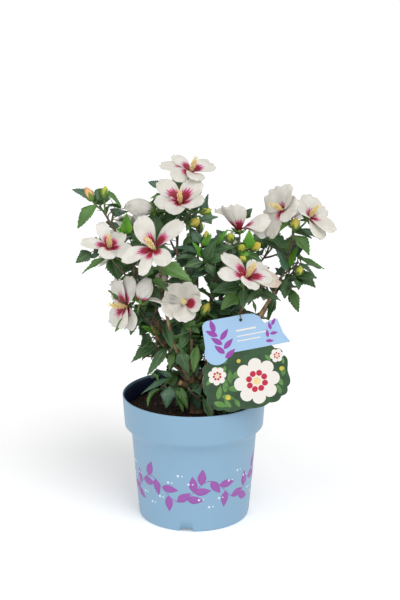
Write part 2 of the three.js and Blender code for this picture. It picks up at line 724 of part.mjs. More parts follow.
function isFree(name, probe) {
  const others = Object.keys(frames).filter((other) => other !== name);
  if (hits(probe, standing) || hits(probe, flowering)) return false;
  return !others.some((other) => hits(probe, stems[other]) || hits(probe, leaves[other]));
}

// Whether a place stands in the way of a bloom, seen from the front of the bloom.
function hidesBloom(place) {
  return views.some(({ heart, turn, lift }) => {
    const toPlace = subtract(place, heart);
    const distance = size(toPlace);
    const angle = Math.acos(dot(toPlace, heading(turn, lift)) / distance);
    return distance < bloomView.reach && angle < bloomView.halfAngle;
  });
}

const inCrown = ([x, y, z]) =>
  x > crown.left && x < crown.right && y > crown.front && y < crown.back && z < crown.top;

// Sets one leaf at a share of a line, turned round it, unless it hides a bloom or runs into anything.
function setLeaf(name, line, share, turn, { leaf, tilt, random }) {
  const stem = line.along(share);
  const along = unit(add(add(scale(stem, tilt), scale(around(stem, turn), 0.9)), [0, 0, -0.12]));
  const facing = unit(add(up, scale(around(along, random() * 2 * Math.PI), 0.35)));
  const length = leaf * (0.72 + 0.4 * random()) * (1 - 0.15 * share);
  const root = line.point(Math.min(share, 0.985));
  const tip = add(root, scale(along, length));
  if (!inCrown(tip) || hidesBloom(tip) || hidesBloom(mix(root, tip, 0.6))) return false;
  if (!isFree(name, leafSolid(root, along, facing, length, 0.5))) return false;
  const blade = leafSolid(mix(root, tip, leafRule.bare), along, facing, length * (1 - leafRule.bare));
  if (hits(blade, leaves[name]) || hits(blade, stems[name])) return false;
  leaves[name].push(asItem(leafSolid(root, along, facing, length)));
  return true;
}

// Leaves stand round a line at the golden turn, each one tilted out from it, with its face up. One that
// has no room is tried on either side of its place.
function leaveLine(name, line, { from, leaf, random, turn }) {
  const count = Math.max(1, Math.round((line.length * (1 - from)) / leafRule.spacing));
  for (let i = 0; i <= count; i += 1) {
    const share = from + ((1 - from) * i) / count;
    const angle = turn + i * goldenTurn + random() * 0.5;
    const tilt = i === count ? 0.9 : 0.4 + 0.3 * random();
    leafRule.tries.some((shift) => setLeaf(name, line, share, angle + shift, { leaf, tilt, random }));
  }
}

// Side twigs leave the stem by the golden turn too, each with its own leaves.
function leafSpray(name) {
  const spray = sprays[name];
  const { line, nodes } = frames[name];
  const random = seeded(spray.seed);
  const twigLines = [];
  for (let i = 0; i < spray.twigs; i += 1) {
    const share = spray.bare + ((0.95 - spray.bare) * (i + 0.5)) / spray.twigs;
    const stem = line.along(share);
    const outward = around(stem, spray.seed + i * goldenTurn + random() * 0.6);
    const length = twigSize.shortest + (twigSize.longest - twigSize.shortest) * random();
    const start = line.point(share);
    const tip = add(start, scale(unit(add(add(scale(stem, 0.7), outward), [0, 0, 0.25])), length));
    const twig = leavingLine(start, unit(add(stem, scale(outward, 1.6))), tip);
    const shape = { sides: 3, steps: twigSize.steps };
    const probe = limbSolid(twig, twigSize.foot + 0.5, twigSize.end + 0.5, shape);
    if (!inCrown(tip) || hidesBloom(tip) || !isFree(name, probe)) continue;
    leaves[name].push(asItem(limbSolid(twig, twigSize.foot, twigSize.end, shape)));
    twigLines.push(twig);
  }
  leaveLine(name, line, { from: spray.bare, leaf: spray.leaf, random, turn: spray.seed });
  for (const [i, twig] of twigLines.entries()) {
    leaveLine(name, twig, { from: 0.35, leaf: spray.leaf, random, turn: i * 2 + spray.seed });
  }
  for (const { share } of nodes) {
    const short = leavingLine(line.point(share), line.along(share), line.point(Math.min(share + 0.1, 1)));
    leaveLine(name, short, { from: 0, leaf: spray.leaf * 0.9, random, turn: share * 20 });
  }
}

for (const name of Object.keys(sprays)) leafSpray(name);
for (const [name, { stem, stalks, blooms }] of Object.entries(frames)) {
  solids[name] = mainBody(join([stem, ...stalks, ...blooms, ...leaves[name].map(({ solid }) => solid)]));
}

// ---------- the scene graph ----------

const finishes = {
  pot: { color: 0x93b8d6, roughness: 0.45 },
  soil: { color: 0x2a1d16, roughness: 1 },
  bark: { color: 0x76583f, roughness: 0.85 },
  foliage: { color: 0x3b6134, roughness: 0.6 },
  card: { color: 0xa9c8e6, roughness: 0.5 },
  wire: { color: 0x3c4a36, roughness: 0.5 },
};

function meshOf(name, solid, finish) {
  const material = new THREE.MeshStandardMaterial({ ...finish, metalness: 0 });
  const mesh = new THREE.Mesh(toGeometry(solid), material);
  mesh.name = name;
  return mesh;
}

const finishOf = (name) => {
  if (name in sprays) return finishes.foliage;
  if (name === "label_tie") return finishes.wire;
  return finishes[name] ?? finishes.bark;
};

const shrub = new THREE.Group();
for (const [name, solid] of Object.entries(solids)) shrub.add(meshOf(name, solid, finishOf(name)));
tag.add(meshOf("plant_label", labelCard, finishes.card));
shrub.add(tag);

export default shrub;
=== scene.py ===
import itertools
import math

import bmesh
import bpy
import numpy as np
from mathutils import Matrix, Vector, noise


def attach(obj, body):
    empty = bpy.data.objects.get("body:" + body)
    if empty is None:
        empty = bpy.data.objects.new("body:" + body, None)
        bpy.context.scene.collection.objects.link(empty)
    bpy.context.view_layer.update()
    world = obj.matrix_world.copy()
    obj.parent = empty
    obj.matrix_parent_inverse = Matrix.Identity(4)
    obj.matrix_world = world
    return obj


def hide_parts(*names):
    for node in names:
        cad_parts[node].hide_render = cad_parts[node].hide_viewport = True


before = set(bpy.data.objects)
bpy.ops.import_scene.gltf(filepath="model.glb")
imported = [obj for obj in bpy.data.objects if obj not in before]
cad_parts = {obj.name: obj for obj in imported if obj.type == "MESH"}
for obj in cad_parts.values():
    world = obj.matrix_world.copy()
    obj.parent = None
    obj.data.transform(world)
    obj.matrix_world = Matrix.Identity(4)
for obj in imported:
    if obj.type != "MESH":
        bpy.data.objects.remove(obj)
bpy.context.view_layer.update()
print("frame loaded")

# Lengths below are millimetres, as in the part's own source. Meshes are written in metres.
metre = 0.001
goldenTurn = math.radians(137.5)
up = np.array([0.0, 0.0, 1.0])


def seeded(seed):  # a small rule for chance, which gives the same draws each run
    state = [seed]

    def draw():
        state[0] = (state[0] * 1664525 + 1013904223) % 4294967296
        return state[0] / 4294967296
    return draw


def spot(*values):
    return np.array(values, float)


def unit(a):
    return a / np.linalg.norm(a)


def across(a, along):
    return unit(a - along * np.dot(a, along))


def heading(turn, lift):
    turn, lift = math.radians(turn), math.radians(lift)
    return spot(math.cos(lift) * math.cos(turn), math.cos(lift) * math.sin(turn), math.sin(lift))


def around(along, angle):
    side = across(up if abs(along[2]) < 0.9 else spot(1, 0, 0), along)
    return side * math.cos(angle) + np.cross(along, side) * math.sin(angle)


def turns(count):  # evenly spaced angles round a ring
    return np.arange(count) * math.tau / count


class Line:  # a bend of one arc from start by way of middle to end
    def __init__(self, start, middle, end):
        self.start, self.middle, self.end = (np.array(p, float) for p in (start, middle, end))
        first, second = self.middle - self.start, self.end - self.middle
        self.length = np.linalg.norm(first) + np.linalg.norm(second)

    def point(self, t):
        first = self.start + (self.middle - self.start) * t
        second = self.middle + (self.end - self.middle) * t
        return first + (second - first) * t

    def along(self, t):
        return unit((self.middle - self.start) * (1 - t) + (self.end - self.middle) * t)


def boughLine(start, tip, sweep):
    start, tip = np.array(start, float), np.array(tip, float)
    outward = unit(spot(tip[0] - start[0], tip[1] - start[1], 0))
    return Line(start, (start + tip) / 2 + outward * sweep - up * sweep, tip)


def leavingLine(start, direction, tip):  # sets off in a direction
    return Line(start, start + direction * np.linalg.norm(tip - start) / 2, tip)


def arrivingLine(start, tip, direction):  # comes in along a direction
    return Line(start, tip - direction * np.linalg.norm(tip - start) / 2, tip)


def paint(code):  # a colour as #rrggbb, as the shader wants it
    values = [int(code[i:i + 2], 16) / 255 for i in (1, 3, 5)]
    return [v / 12.92 if v < 0.04045 else ((v + 0.055) / 1.055) ** 2.4 for v in values]


def makeObject(name, parts, material, smooth=True):
    # each part is its points and its blocks of faces, a block being one array of corner numbers
    points, corners, counts, base = [], [], [], 0
    for place, blocks in parts:
        points.append(place)
        for block in blocks:
            corners.append((block + base).ravel())
            counts.append(np.full(len(block), block.shape[1]))
        base += len(place)
    points, corners, counts = (np.concatenate(x) for x in (points, corners, counts))
    mesh = bpy.data.meshes.new(name)
    mesh.vertices.add(len(points))
    mesh.vertices.foreach_set("co", (points * metre).astype(np.float32).ravel())
    mesh.loops.add(len(corners))
    mesh.loops.foreach_set("vertex_index", corners.astype(np.int32))
    mesh.polygons.add(len(counts))
    mesh.polygons.foreach_set("loop_start", (np.cumsum(counts) - counts).astype(np.int32))
    mesh.update(calc_edges=True)
    mesh.validate()
    mesh.polygons.foreach_set("use_smooth", np.full(len(counts), smooth))
    mesh.materials.append(material)
    return linked(name, mesh)


def settle(piece, nodes=()):
    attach(piece, "root")
    if nodes:
        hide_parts(*nodes)
    print(piece.name, len(piece.data.polygons), "faces")
    return piece


def gridFaces(rows, columns):
    r, c = np.meshgrid(np.arange(rows - 1), np.arange(columns - 1), indexing="ij")
    a = (r * columns + c).ravel()
    return np.stack([a, a + 1, a + columns + 1, a + columns], 1)


# Thin closed blades from grids of points: top is (count, rows, columns, 3), columns run to the right.
def bladeParts(top, thickness):
    face = np.cross(np.gradient(top, axis=2), np.gradient(top, axis=1))
    face /= np.maximum(np.linalg.norm(face, axis=-1, keepdims=True), 1e-9)
    count, rows, columns, _ = top.shape
    size = rows * columns
    points = np.concatenate([side.reshape(count, size, 3) for side in (top, top - face * thickness)], 1)
    quads = gridFaces(rows, columns)
    c, r = np.arange(columns), np.arange(rows)
    edge = np.concatenate([c, r[1:] * columns + columns - 1, (size - 1 - c)[1:], (r[::-1] * columns)[1:-1]])
    after = np.roll(edge, -1)
    rim = np.stack([edge + size, after + size, after, edge], 1)
    faces = np.concatenate([quads, quads[:, ::-1] + size, rim])
    shift = (np.arange(count) * size * 2)[:, None, None]
    return points.reshape(-1, 3), [(faces[None] + shift).reshape(-1, 4)]


# A closed tube along points, with a radius at each, or one for each point of each ring.
def tubePart(points, radii, sides):
    points = np.asarray(points, float)
    along = np.gradient(points, axis=0)
    along /= np.linalg.norm(along, axis=1, keepdims=True)
    side = [around(along[0], 0)]
    for direction in along[1:]:
        side.append(across(side[-1], direction))
    side = np.array(side)
    other = np.cross(along, side)
    angle = turns(sides)
    ring = side[:, None] * np.cos(angle)[None, :, None] + other[:, None] * np.sin(angle)[None, :, None]
    radii = np.asarray(radii, float)
    radii = radii[:, None] if radii.ndim == 1 else radii
    body = points[:, None] + ring * radii[..., None]
    foot = points[0] - along[0] * radii[0].mean() * 0.3
    tip = points[-1] + along[-1] * radii[-1].mean() * 0.3
    return closeRings(body, foot, tip)


def closeRings(body, foot, tip):
    rings, sides, _ = body.shape
    corners = np.concatenate([body.reshape(-1, 3), [foot, tip]])
    i = np.arange(sides)
    j = (i + 1) % sides
    base = (np.arange(rings - 1) * sides)[:, None]
    quads = np.stack([base + i, base + j, base + sides + j, base + sides + i], -1).reshape(-1, 4)
    last = (rings - 1) * sides
    footFan = np.stack([j, i, np.full(sides, rings * sides)], 1)
    tipFan = np.stack([last + i, last + j, np.full(sides, rings * sides + 1)], 1)
    return corners, [quads, np.concatenate([footFan, tipFan])]


def turnedPart(profile, segments):  # [radius, height] from the axis round to the axis, outer side first
    profile = np.array(profile, float)
    angle = turns(segments)
    ring = np.stack([np.cos(angle), np.sin(angle), np.zeros(segments)], 1)
    body = profile[1:-1, 0][:, None, None] * ring + profile[1:-1, 1][:, None, None] * up
    return closeRings(body, spot(0, 0, profile[0, 1]), spot(0, 0, profile[-1, 1]))


def noiseOver(material, scale, detail, stretch=(1, 1, 1)):
    nodes, links = material.node_tree.nodes, material.node_tree.links
    place, shift, cloud = (nodes.new("ShaderNode" + kind) for kind in ("TexCoord", "Mapping", "TexNoise"))
    shift.inputs["Scale"].default_value = stretch
    cloud.inputs["Scale"].default_value = scale
    cloud.inputs["Detail"].default_value = detail
    links.new(place.outputs["Object"], shift.inputs["Vector"])
    links.new(shift.outputs["Vector"], cloud.inputs["Vector"])
    return nodes, links, nodes["Principled BSDF"], cloud.outputs["Fac"]


def mottle(material, other, scale, stretch=(1, 1, 1)):  # turns the base colour towards another by noise
    nodes, links, shader, cloud = noiseOver(material, scale, 3, stretch)
    ramp = nodes.new("ShaderNodeValToRGB")
    first, second = ramp.color_ramp.elements
    first.position, second.position = 0.4, 0.6
    first.color = shader.inputs["Base Color"].default_value
    second.color = (*paint(other), 1)
    links.new(cloud, ramp.inputs["Fac"])
    links.new(ramp.outputs["Color"], shader.inputs["Base Color"])


def roughen(material, scale, height):  # a fine relief
    nodes, links, shader, cloud = noiseOver(material, scale, 4)
    bump = nodes.new("ShaderNodeBump")
    bump.inputs["Distance"].default_value = height * metre
    links.new(cloud, bump.inputs["Height"])
    links.new(bump.outputs["Normal"], shader.inputs["Normal"])


def makeMaterial(name, colour, rough, mottled=None, relief=None, sockets=None):
    material = bpy.data.materials.new(name)
    material.use_nodes = True
    shader = material.node_tree.nodes["Principled BSDF"]
    shader.inputs["Base Color"].default_value = (*paint(colour), 1)
    shader.inputs["Roughness"].default_value = rough
    for socket, value in (sockets or {}).items():
        shader.inputs[socket].default_value = value
    if mottled:
        mottle(material, *mottled)
    if relief:
        roughen(material, *relief)
    return material


def newTree(name, inputs):
    tree = bpy.data.node_groups.new(name, "GeometryNodeTree")
    tree.interface.new_socket("Geometry", in_out="INPUT", socket_type="NodeSocketGeometry")
    tree.interface.new_socket("Geometry", in_out="OUTPUT", socket_type="NodeSocketGeometry")
    for label, kind, value in inputs:
        socket = tree.interface.new_socket(label, in_out="INPUT", socket_type="NodeSocket" + kind)
        if value is not None:
            socket.default_value = value
    return tree, tree.nodes.new("NodeGroupInput"), tree.nodes.new("NodeGroupOutput")


def wire(tree, *rows):  # each row is a node and its output, then a node and its input
    for source, output, target, entry in rows:
        tree.links.new(source.outputs[output], target.inputs[entry])


# Bits strewn over a surface at random turns and sizes, then made real.
def strewTree():
    tree, start, end = newTree("strewBits", [
        ("Bit", "Object", None), ("Spacing", "Float", 0.002), ("Density", "Float", 1e5), ("Seed", "Int", 1),
        ("Smallest", "Float", 0.6), ("Largest", "Float", 1.4), ("Finish", "Material", None)])
    spread, bit, turn, grow, place, real, finish = (tree.nodes.new(kind) for kind in (
        "GeometryNodeDistributePointsOnFaces", "GeometryNodeObjectInfo", "FunctionNodeRandomValue",
        "FunctionNodeRandomValue", "GeometryNodeInstanceOnPoints", "GeometryNodeRealizeInstances",
        "GeometryNodeSetMaterial"))
    spread.distribute_method = "POISSON"
    turn.data_type = "FLOAT_VECTOR"
    turn.inputs["Max"].default_value = (math.tau,) * 3
    wire(tree,
         (start, "Geometry", spread, "Mesh"), (start, "Spacing", spread, "Distance Min"),
         (start, "Density", spread, "Density Max"), (start, "Seed", spread, "Seed"),
         (start, "Bit", bit, "Object"), (start, "Seed", turn, "Seed"), (start, "Seed", grow, "Seed"),
         (start, "Smallest", grow, "Min"), (start, "Largest", grow, "Max"),
         (spread, "Points", place, "Points"), (bit, "Geometry", place, "Instance"),
         (turn, "Value", place, "Rotation"), (grow, "Value", place, "Scale"),
         (place, "Instances", real, "Geometry"), (real, "Geometry", finish, "Geometry"),
         (start, "Finish", finish, "Material"), (finish, "Geometry", end, "Geometry"))
    return tree


def plainMesh(thing):  # its mesh with its modifiers carried out
    return bpy.data.meshes.new_from_object(thing.evaluated_get(bpy.context.evaluated_depsgraph_get()))


def linked(name, data):
    thing = bpy.data.objects.new(name, data)
    bpy.context.scene.collection.objects.link(thing)
    return thing


def runTree(name, carrier, tree, values):
    modifier = carrier.modifiers.new(name, "NODES")
    modifier.node_group = tree
    for item in tree.interface.items_tree:
        if item.in_out == "INPUT" and item.name in values:
            modifier[item.identifier] = values[item.name]
    mesh = plainMesh(carrier)
    carrier.modifiers.remove(modifier)
    mesh.name = name
    return linked(name, mesh)


def bitObject(name, parts, material):
    bit = makeObject(name, parts, material)
    bit.hide_render = True
    return bit


def drop(*things):
    for thing in things:
        bpy.data.objects.remove(thing)


thinBlade = {"Subsurface Weight": 0.7, "Subsurface Radius": (1, 1, 1), "Subsurface Scale": 0.002}
# Colour, roughness, the second colour and the scale of its mottling, the scale and height of a relief.
looks = {
    "potBlue": ("#82a6c0", 0.42, None, (900, 0.05)),
    "potNavy": ("#10244d", 0.5, None, (700, 0.05)),
    "peat": ("#1c120d", 0.95, ("#3a2619", 220), (600, 0.6)),
    "peatCrumb": ("#1b120d", 0.95, ("#3f2a1d", 300)),
    "barkBit": ("#4a2f1e", 0.9, ("#7a5433", 400), (900, 0.3)),
    "bark": ("#7b6047", 0.85, ("#a58b69", 260, (1, 1, 0.35)), (900, 0.35)),
    "cutWood": ("#b98a5a", 0.8, ("#d8b283", 500)),
    "twig": ("#4b3f33", 0.7, ("#6d5a43", 200)),
    "greenStalk": ("#4c6632", 0.6, ("#5a7640", 150)),
    "leafDark": ("#30502b", 0.45, ("#3c6031", 45)),
    # The next finish is a blue-green copy of the leaf green and is painted shade: the bluish cast that leaves
    # take in shade.
    "leafBlue": ("#395844", 0.42, ("#4a6c54", 45)),
    "leafMid": ("#456a2f", 0.45, ("#56803a", 45)),
    "leafRib": ("#608146", 0.5, ("#6d8e55", 90)),
    "leafYoung": ("#4c8c14", 0.5, ("#64a222", 45)),
    "petal": ("#cecabf", 0.6, ("#dad6ce", 60), None, thinBlade),
    "petalFaded": ("#cdc3b5", 0.65, ("#bfab99", 70), None, thinBlade),
    "petalEye": ("#990e2e", 0.5, ("#7d0922", 120)),
    "petalHalo": ("#cb5689", 0.55, ("#d66c99", 200)),
    "cream": ("#ecd79e", 0.6, ("#e8d08a", 400), None, {"Subsurface Weight": 0.1}),
    "calyx": ("#587a34", 0.6, ("#6f9140", 120)),
    "budPeach": ("#e3b56f", 0.5, ("#d98a72", 90)),
    "budYellow": ("#d3b838", 0.5, ("#b9b04a", 90)),
    "budOlive": ("#b9b93e", 0.5, ("#c6b452", 90)),
    "budGreen": ("#a9b83d", 0.5, ("#c6c356", 90)),
    "cardBlue": ("#9abbdb", 0.35, None, (500, 0.03)),
    "cardGreen": ("#2b4f2b", 0.3, ("#203f22", 60)),
    "cardLeaf": ("#456f38", 0.3, ("#5b8a3e", 90)),
    "cardWhite": ("#dfdbd4", 0.32, None, (500, 0.03)),
    "cardRed": ("#b4163a", 0.32, None, (500, 0.03)),
    "cardPurple": ("#8d3f9c", 0.35, None, (500, 0.03)),
    "tieWire": ("#3c4a36", 0.5, None, (800, 0.05)),
    "inkPurple": ("#9450a2", 0.42, None, (900, 0.05)),
    "inkPale": ("#d9e6f6", 0.42, None, (900, 0.05)),
}
finishes = {name: makeMaterial(name, *values) for name, values in looks.items()}
print(len(finishes), "finishes")

pot = {
    "height": 168, "rimRadius": 95, "rimRound": 0.9, "lipFoot": 127, "lipFootRadius": 92.3,
    "shoulder": 117, "shoulderRadius": 83.4, "baseRadius": 74, "baseRound": 2.5, "wall": 2, "floor": 8,
    "segments": 180, "liningFoot": 140,
}
drain = {"count": 4, "firstTurn": -97.5, "width": 20, "topWidth": 15, "height": 5, "inner": 34,
         "holeRadius": 5, "holeAt": 52}
bodySlope = (pot["shoulderRadius"] - pot["baseRadius"]) / pot["shoulder"]
lipSlope = (pot["rimRadius"] - pot["lipFootRadius"]) / (pot["height"] - pot["lipFoot"])


def bodyRadius(z):
    return pot["baseRadius"] + bodySlope * z


def lipRadius(z):
    return pot["lipFootRadius"] + lipSlope * (z - pot["lipFoot"])


def arcPoints(centre, radius, fromAngle, toAngle, steps):
    angles = np.radians(np.linspace(fromAngle, toAngle, steps))
    return [[centre[0] + radius * math.cos(a), centre[1] + radius * math.sin(a)] for a in angles]


def shellProfile():  # up the outer side, over the rim and down the inner side
    top, wall, floor = pot["height"], pot["wall"], pot["floor"]
    shoulder, lipFoot = pot["shoulder"], pot["lipFoot"]
    foot, rim = pot["baseRound"], pot["rimRound"]
    inner = bodyRadius(shoulder) - wall
    profile = [[0, 0], [pot["baseRadius"] - foot - 2, 0]]
    profile += arcPoints([pot["baseRadius"] - foot, foot], foot, -90, -4, 6)
    profile += [[bodyRadius(z), z] for z in (20, 50, 80, shoulder - 2)]
    profile += [[pot["shoulderRadius"] + 0.7, shoulder + 0.8], [pot["shoulderRadius"] + 3.2, shoulder + 4.2]]
    profile += [[pot["lipFootRadius"] - 1.6, lipFoot - 1.8], [pot["lipFootRadius"], lipFoot]]
    profile += [[lipRadius(z), z] for z in (130, 145, 160)]
    profile += arcPoints([pot["rimRadius"] - rim, top - rim], rim, 0, 180, 9)
    profile += [[lipRadius(z) - wall, z] for z in (160, lipFoot + 1)]
    profile += [[inner + 3.4, shoulder + 5.4], [inner, shoulder + 1]]
    profile += [[bodyRadius(floor) - wall, floor], [0, floor]]
    return profile


def drainCuts():  # the channels under the base, and a hole at the inner end of each
    channels, holes = [], []
    half, topHalf, high = drain["width"] / 2, drain["topWidth"] / 2, drain["height"]
    section = [(-half, -5), (half, -5), (half, 0.5), (topHalf, high), (-topHalf, high), (-half, 0.5)]
    for i in range(drain["count"]):
        turn = math.radians(drain["firstTurn"] + i * 360 / drain["count"])
        out, side = spot(math.cos(turn), math.sin(turn), 0), spot(-math.sin(turn), math.cos(turn), 0)
        ends = [out * reach for reach in (drain["inner"], pot["baseRadius"] + 10)]
        body = np.array([[end + side * s + up * z for s, z in section] for end in ends])
        channels.append(closeRings(body, ends[0], ends[1] + up))
        centre = out * drain["holeAt"]
        holes.append(tubePart([centre - up * 3, centre + up * 20], [drain["holeRadius"]] * 2, 24))
    return {"channels": channels, "holes": holes}


def makePot():
    shell = makeObject("potShell", [turnedPart(shellProfile(), pot["segments"])], finishes["potBlue"])
    for name, parts in drainCuts().items():
        cutter = makeObject(name, parts, finishes["potBlue"], smooth=False)
        cut = shell.modifiers.new(name, "BOOLEAN")
        cut.object, cut.operation, cut.solver = cutter, "DIFFERENCE", "EXACT"
        mesh = plainMesh(shell)
        shell.modifiers.remove(cut)
        shell.data = mesh
        drop(cutter)
    shell.data.name = "potShell"
    settle(shell, ["pot"])


def makeLining():  # a dark sleeve inside the rim, above the peat
    low, high = pot["liningFoot"], pot["height"] - 3.2
    wall = pot["wall"]
    lining = [[lipRadius(z) - wall - 0.05, z] for z in (low, 150, 158, high)]
    lining += [[lipRadius(high) - wall - 0.25, high + 0.2]]
    lining += [[lipRadius(z) - wall - 0.5, z] for z in (high - 0.3, 158, 150, low)]
    angles = np.linspace(0, math.tau, pot["segments"], endpoint=False)
    ring = np.array([[[r * math.cos(a), r * math.sin(a), z] for a in angles] for r, z in lining])
    index = np.arange(ring.size // 3).reshape(ring.shape[:2])
    after = np.roll(index, -1, axis=1)
    corners = [index, np.roll(index, -1, axis=0), np.roll(after, -1, axis=0), after]
    faces = np.stack(corners, -1).reshape(-1, 4)
    settle(makeObject("potLining", [(ring.reshape(-1, 3), [faces])], finishes["potNavy"]))


makePot()
makeLining()

garland = {
    "leaves": 46, "waves": 6, "height": 58, "swing": 15, "splay": 0.8, "leafLength": 23, "leafWidth": 11,
    "stem": 1.1, "dots": 36, "dotRadius": 1.7, "film": 0.12,
}


# Leaves set in turn to the left and right of a wavy line, laid out flat.
def garlandTree():
    tree, start, end = newTree("garland", [
        ("Leaf", "Object", None), ("Leaves", "Int", 40), ("Length", "Float", 0.5), ("Waves", "Float", 6.0),
        ("Swing", "Float", 0.01), ("Splay", "Float", 0.8), ("Finish", "Material", None)])
    make = tree.nodes.new

    def maths(operation, *values):
        node = make("ShaderNodeMath")
        node.operation = operation
        for socket, value in zip(node.inputs, values):
            if isinstance(value, (int, float)):
                socket.default_value = value
            else:
                tree.links.new(value, socket)
        return node.outputs[0]

    far, line, fine, share, shift, move, points, index, turn, tilt, both, leaf, place, real, finish = (
        make(kind) for kind in (
            "ShaderNodeCombineXYZ", "GeometryNodeCurvePrimitiveLine", "GeometryNodeResampleCurve",
            "GeometryNodeSplineParameter", "ShaderNodeCombineXYZ", "GeometryNodeSetPosition",
            "GeometryNodeCurveToPoints", "GeometryNodeInputIndex", "FunctionNodeAlignRotationToVector",
            "FunctionNodeAxisAngleToRotation", "FunctionNodeRotateRotation", "GeometryNodeObjectInfo",
            "GeometryNodeInstanceOnPoints", "GeometryNodeRealizeInstances", "GeometryNodeSetMaterial"))
    fine.inputs["Count"].default_value = 400
    turn.axis = "X"
    angle = maths("MULTIPLY", maths("MULTIPLY", share.outputs["Factor"], start.outputs["Waves"]), math.tau)
    sign = maths("SUBTRACT", maths("MULTIPLY", maths("MODULO", index.outputs["Index"], 2), 2), 1)
    tree.links.new(maths("MULTIPLY", maths("SINE", angle), start.outputs["Swing"]), shift.inputs["Y"])
    tree.links.new(maths("MULTIPLY", sign, start.outputs["Splay"]), tilt.inputs["Angle"])
    wire(tree,
         (start, "Length", far, "X"), (far, "Vector", line, "End"), (line, "Curve", fine, "Curve"),
         (fine, "Curve", move, "Geometry"), (shift, "Vector", move, "Offset"),
         (move, "Geometry", points, "Curve"), (start, "Leaves", points, "Count"),
         (points, "Tangent", turn, "Vector"),
         (turn, "Rotation", both, "Rotation"), (tilt, "Rotation", both, "Rotate By"),
         (points, "Points", place, "Points"), (start, "Leaf", leaf, "Object"),
         (leaf, "Geometry", place, "Instance"), (both, "Rotation", place, "Rotation"),
         (place, "Instances", real, "Geometry"), (real, "Geometry", finish, "Geometry"),
         (start, "Finish", finish, "Material"), (finish, "Geometry", end, "Geometry"))
    return tree


def wrapPrint(piece, height):  # bends a flat print round the pot's tapering wall
    girth = bodyRadius(height)
    for corner in piece.data.vertices:
        x, y, rise = np.array(corner.co) / metre
        z = height + y
        angle, radius = x / girth - math.pi / 2, bodyRadius(z) + rise
        corner.co = Vector((radius * math.cos(angle), radius * math.sin(angle), z)) * metre
    return piece


def makePrint():
    film, swing, waves = garland["film"], garland["swing"], garland["waves"]
    shares, beside = np.linspace(0.02, 0.99, 9)[:, None], np.linspace(-1, 1, 5)[None]
    half = garland["leafWidth"] / 2 * np.sin(math.pi * shares ** 0.8) + 0.1
    flat = np.stack(np.broadcast_arrays(shares * garland["leafLength"], -half * beside, film), -1)
    leaf = bitObject("printLeaf", [bladeParts(flat[None], film * 1.6)], finishes["inkPurple"])
    length = math.tau * bodyRadius(garland["height"])
    carrier = makeObject("printLine", [tubePart([(0, 0, 0), (1, 0, 0)], [1, 1], 3)], finishes["inkPurple"])
    leaves = runTree("potPrintLeaves", carrier, garlandTree(), {
        "Leaf": leaf, "Leaves": garland["leaves"], "Length": length * metre, "Waves": float(waves),
        "Swing": swing * metre, "Splay": garland["splay"], "Finish": finishes["inkPurple"]})
    drop(carrier, leaf)
    along = np.linspace(0, length, 481)
    wave = swing * np.sin(along / length * waves * math.tau)
    ribbon = np.stack([np.column_stack([along, wave + side, np.full(len(along), film * 0.9)])
                       for side in (garland["stem"] / 2, -garland["stem"] / 2)], 1)
    stem = makeObject("potPrintStem", [bladeParts(ribbon[None], film * 1.6)], finishes["inkPurple"])
    dots = []
    for i in range(garland["dots"]):
        share = (i + 0.5) / garland["dots"]
        x, y = share * length, -swing * 1.5 * math.sin(share * waves * math.tau)
        for radius, shift in ((garland["dotRadius"], 0), (garland["dotRadius"] * 0.6, 5.5)):
            ring = [[[x + shift + math.cos(a) * radius, y + math.sin(a) * radius, w]
                     for a in turns(14)] for w in (-film, film)]
            dots.append(closeRings(np.array(ring), spot(x + shift, y, -film), spot(x + shift, y, film)))
    for piece in (leaves, stem, makeObject("potPrintDots", dots, finishes["inkPale"])):
        settle(wrapPrint(piece, garland["height"]))


makePrint()


soil = {
    "top": 148, "edgeDrop": 3, "flatRadius": 34, "rings": 60, "segments": 150, "roughness": 1.6,
    "peatCrumbs": {"size": (1.3, 1.0, 0.8), "shapeSeed": 3, "spacing": 2.6, "density": 2.5e5, "seed": 5,
                   "largest": 1.7},
    "barkBits": {"size": (4.2, 1.8, 0.8), "shapeSeed": 9, "spacing": 9, "density": 2e4, "seed": 8,
                 "largest": 1.25},
}


def lumpBit(name, lengths, seed, material):  # a rough pebble with a few dozen faces
    draw = seeded(seed)
    rings, sides = 4, 7
    body = []
    for i in range(rings):
        tilt = math.pi * (i + 1) / (rings + 1)
        radius = [1 - 0.3 * draw() for _ in range(sides)]
        wide, deep = lengths[0] * math.sin(tilt), lengths[1] * math.sin(tilt)
        high = lengths[2] * math.cos(tilt)
        body.append([[wide * math.cos(a) * k, deep * math.sin(a) * k, high]
                     for k, a in zip(radius, turns(sides))])
    foot, tip = spot(0, 0, -lengths[2]), spot(0, 0, lengths[2])
    return bitObject(name, [closeRings(np.array(body[::-1]), foot, tip)], material)


def strewnPiece(name, carrier, finish):  # soil[name] says how its bits lie on the carrier
    bits = soil[name]
    bit = lumpBit(name + "Bit", bits["size"], bits["shapeSeed"], finishes[finish])
    piece = runTree(name, carrier, strew, {
        "Bit": bit, "Spacing": bits["spacing"] * metre, "Density": bits["density"], "Seed": bits["seed"],
        "Smallest": 0.5, "Largest": bits["largest"], "Finish": finishes[finish]})
    drop(bit)
    return piece


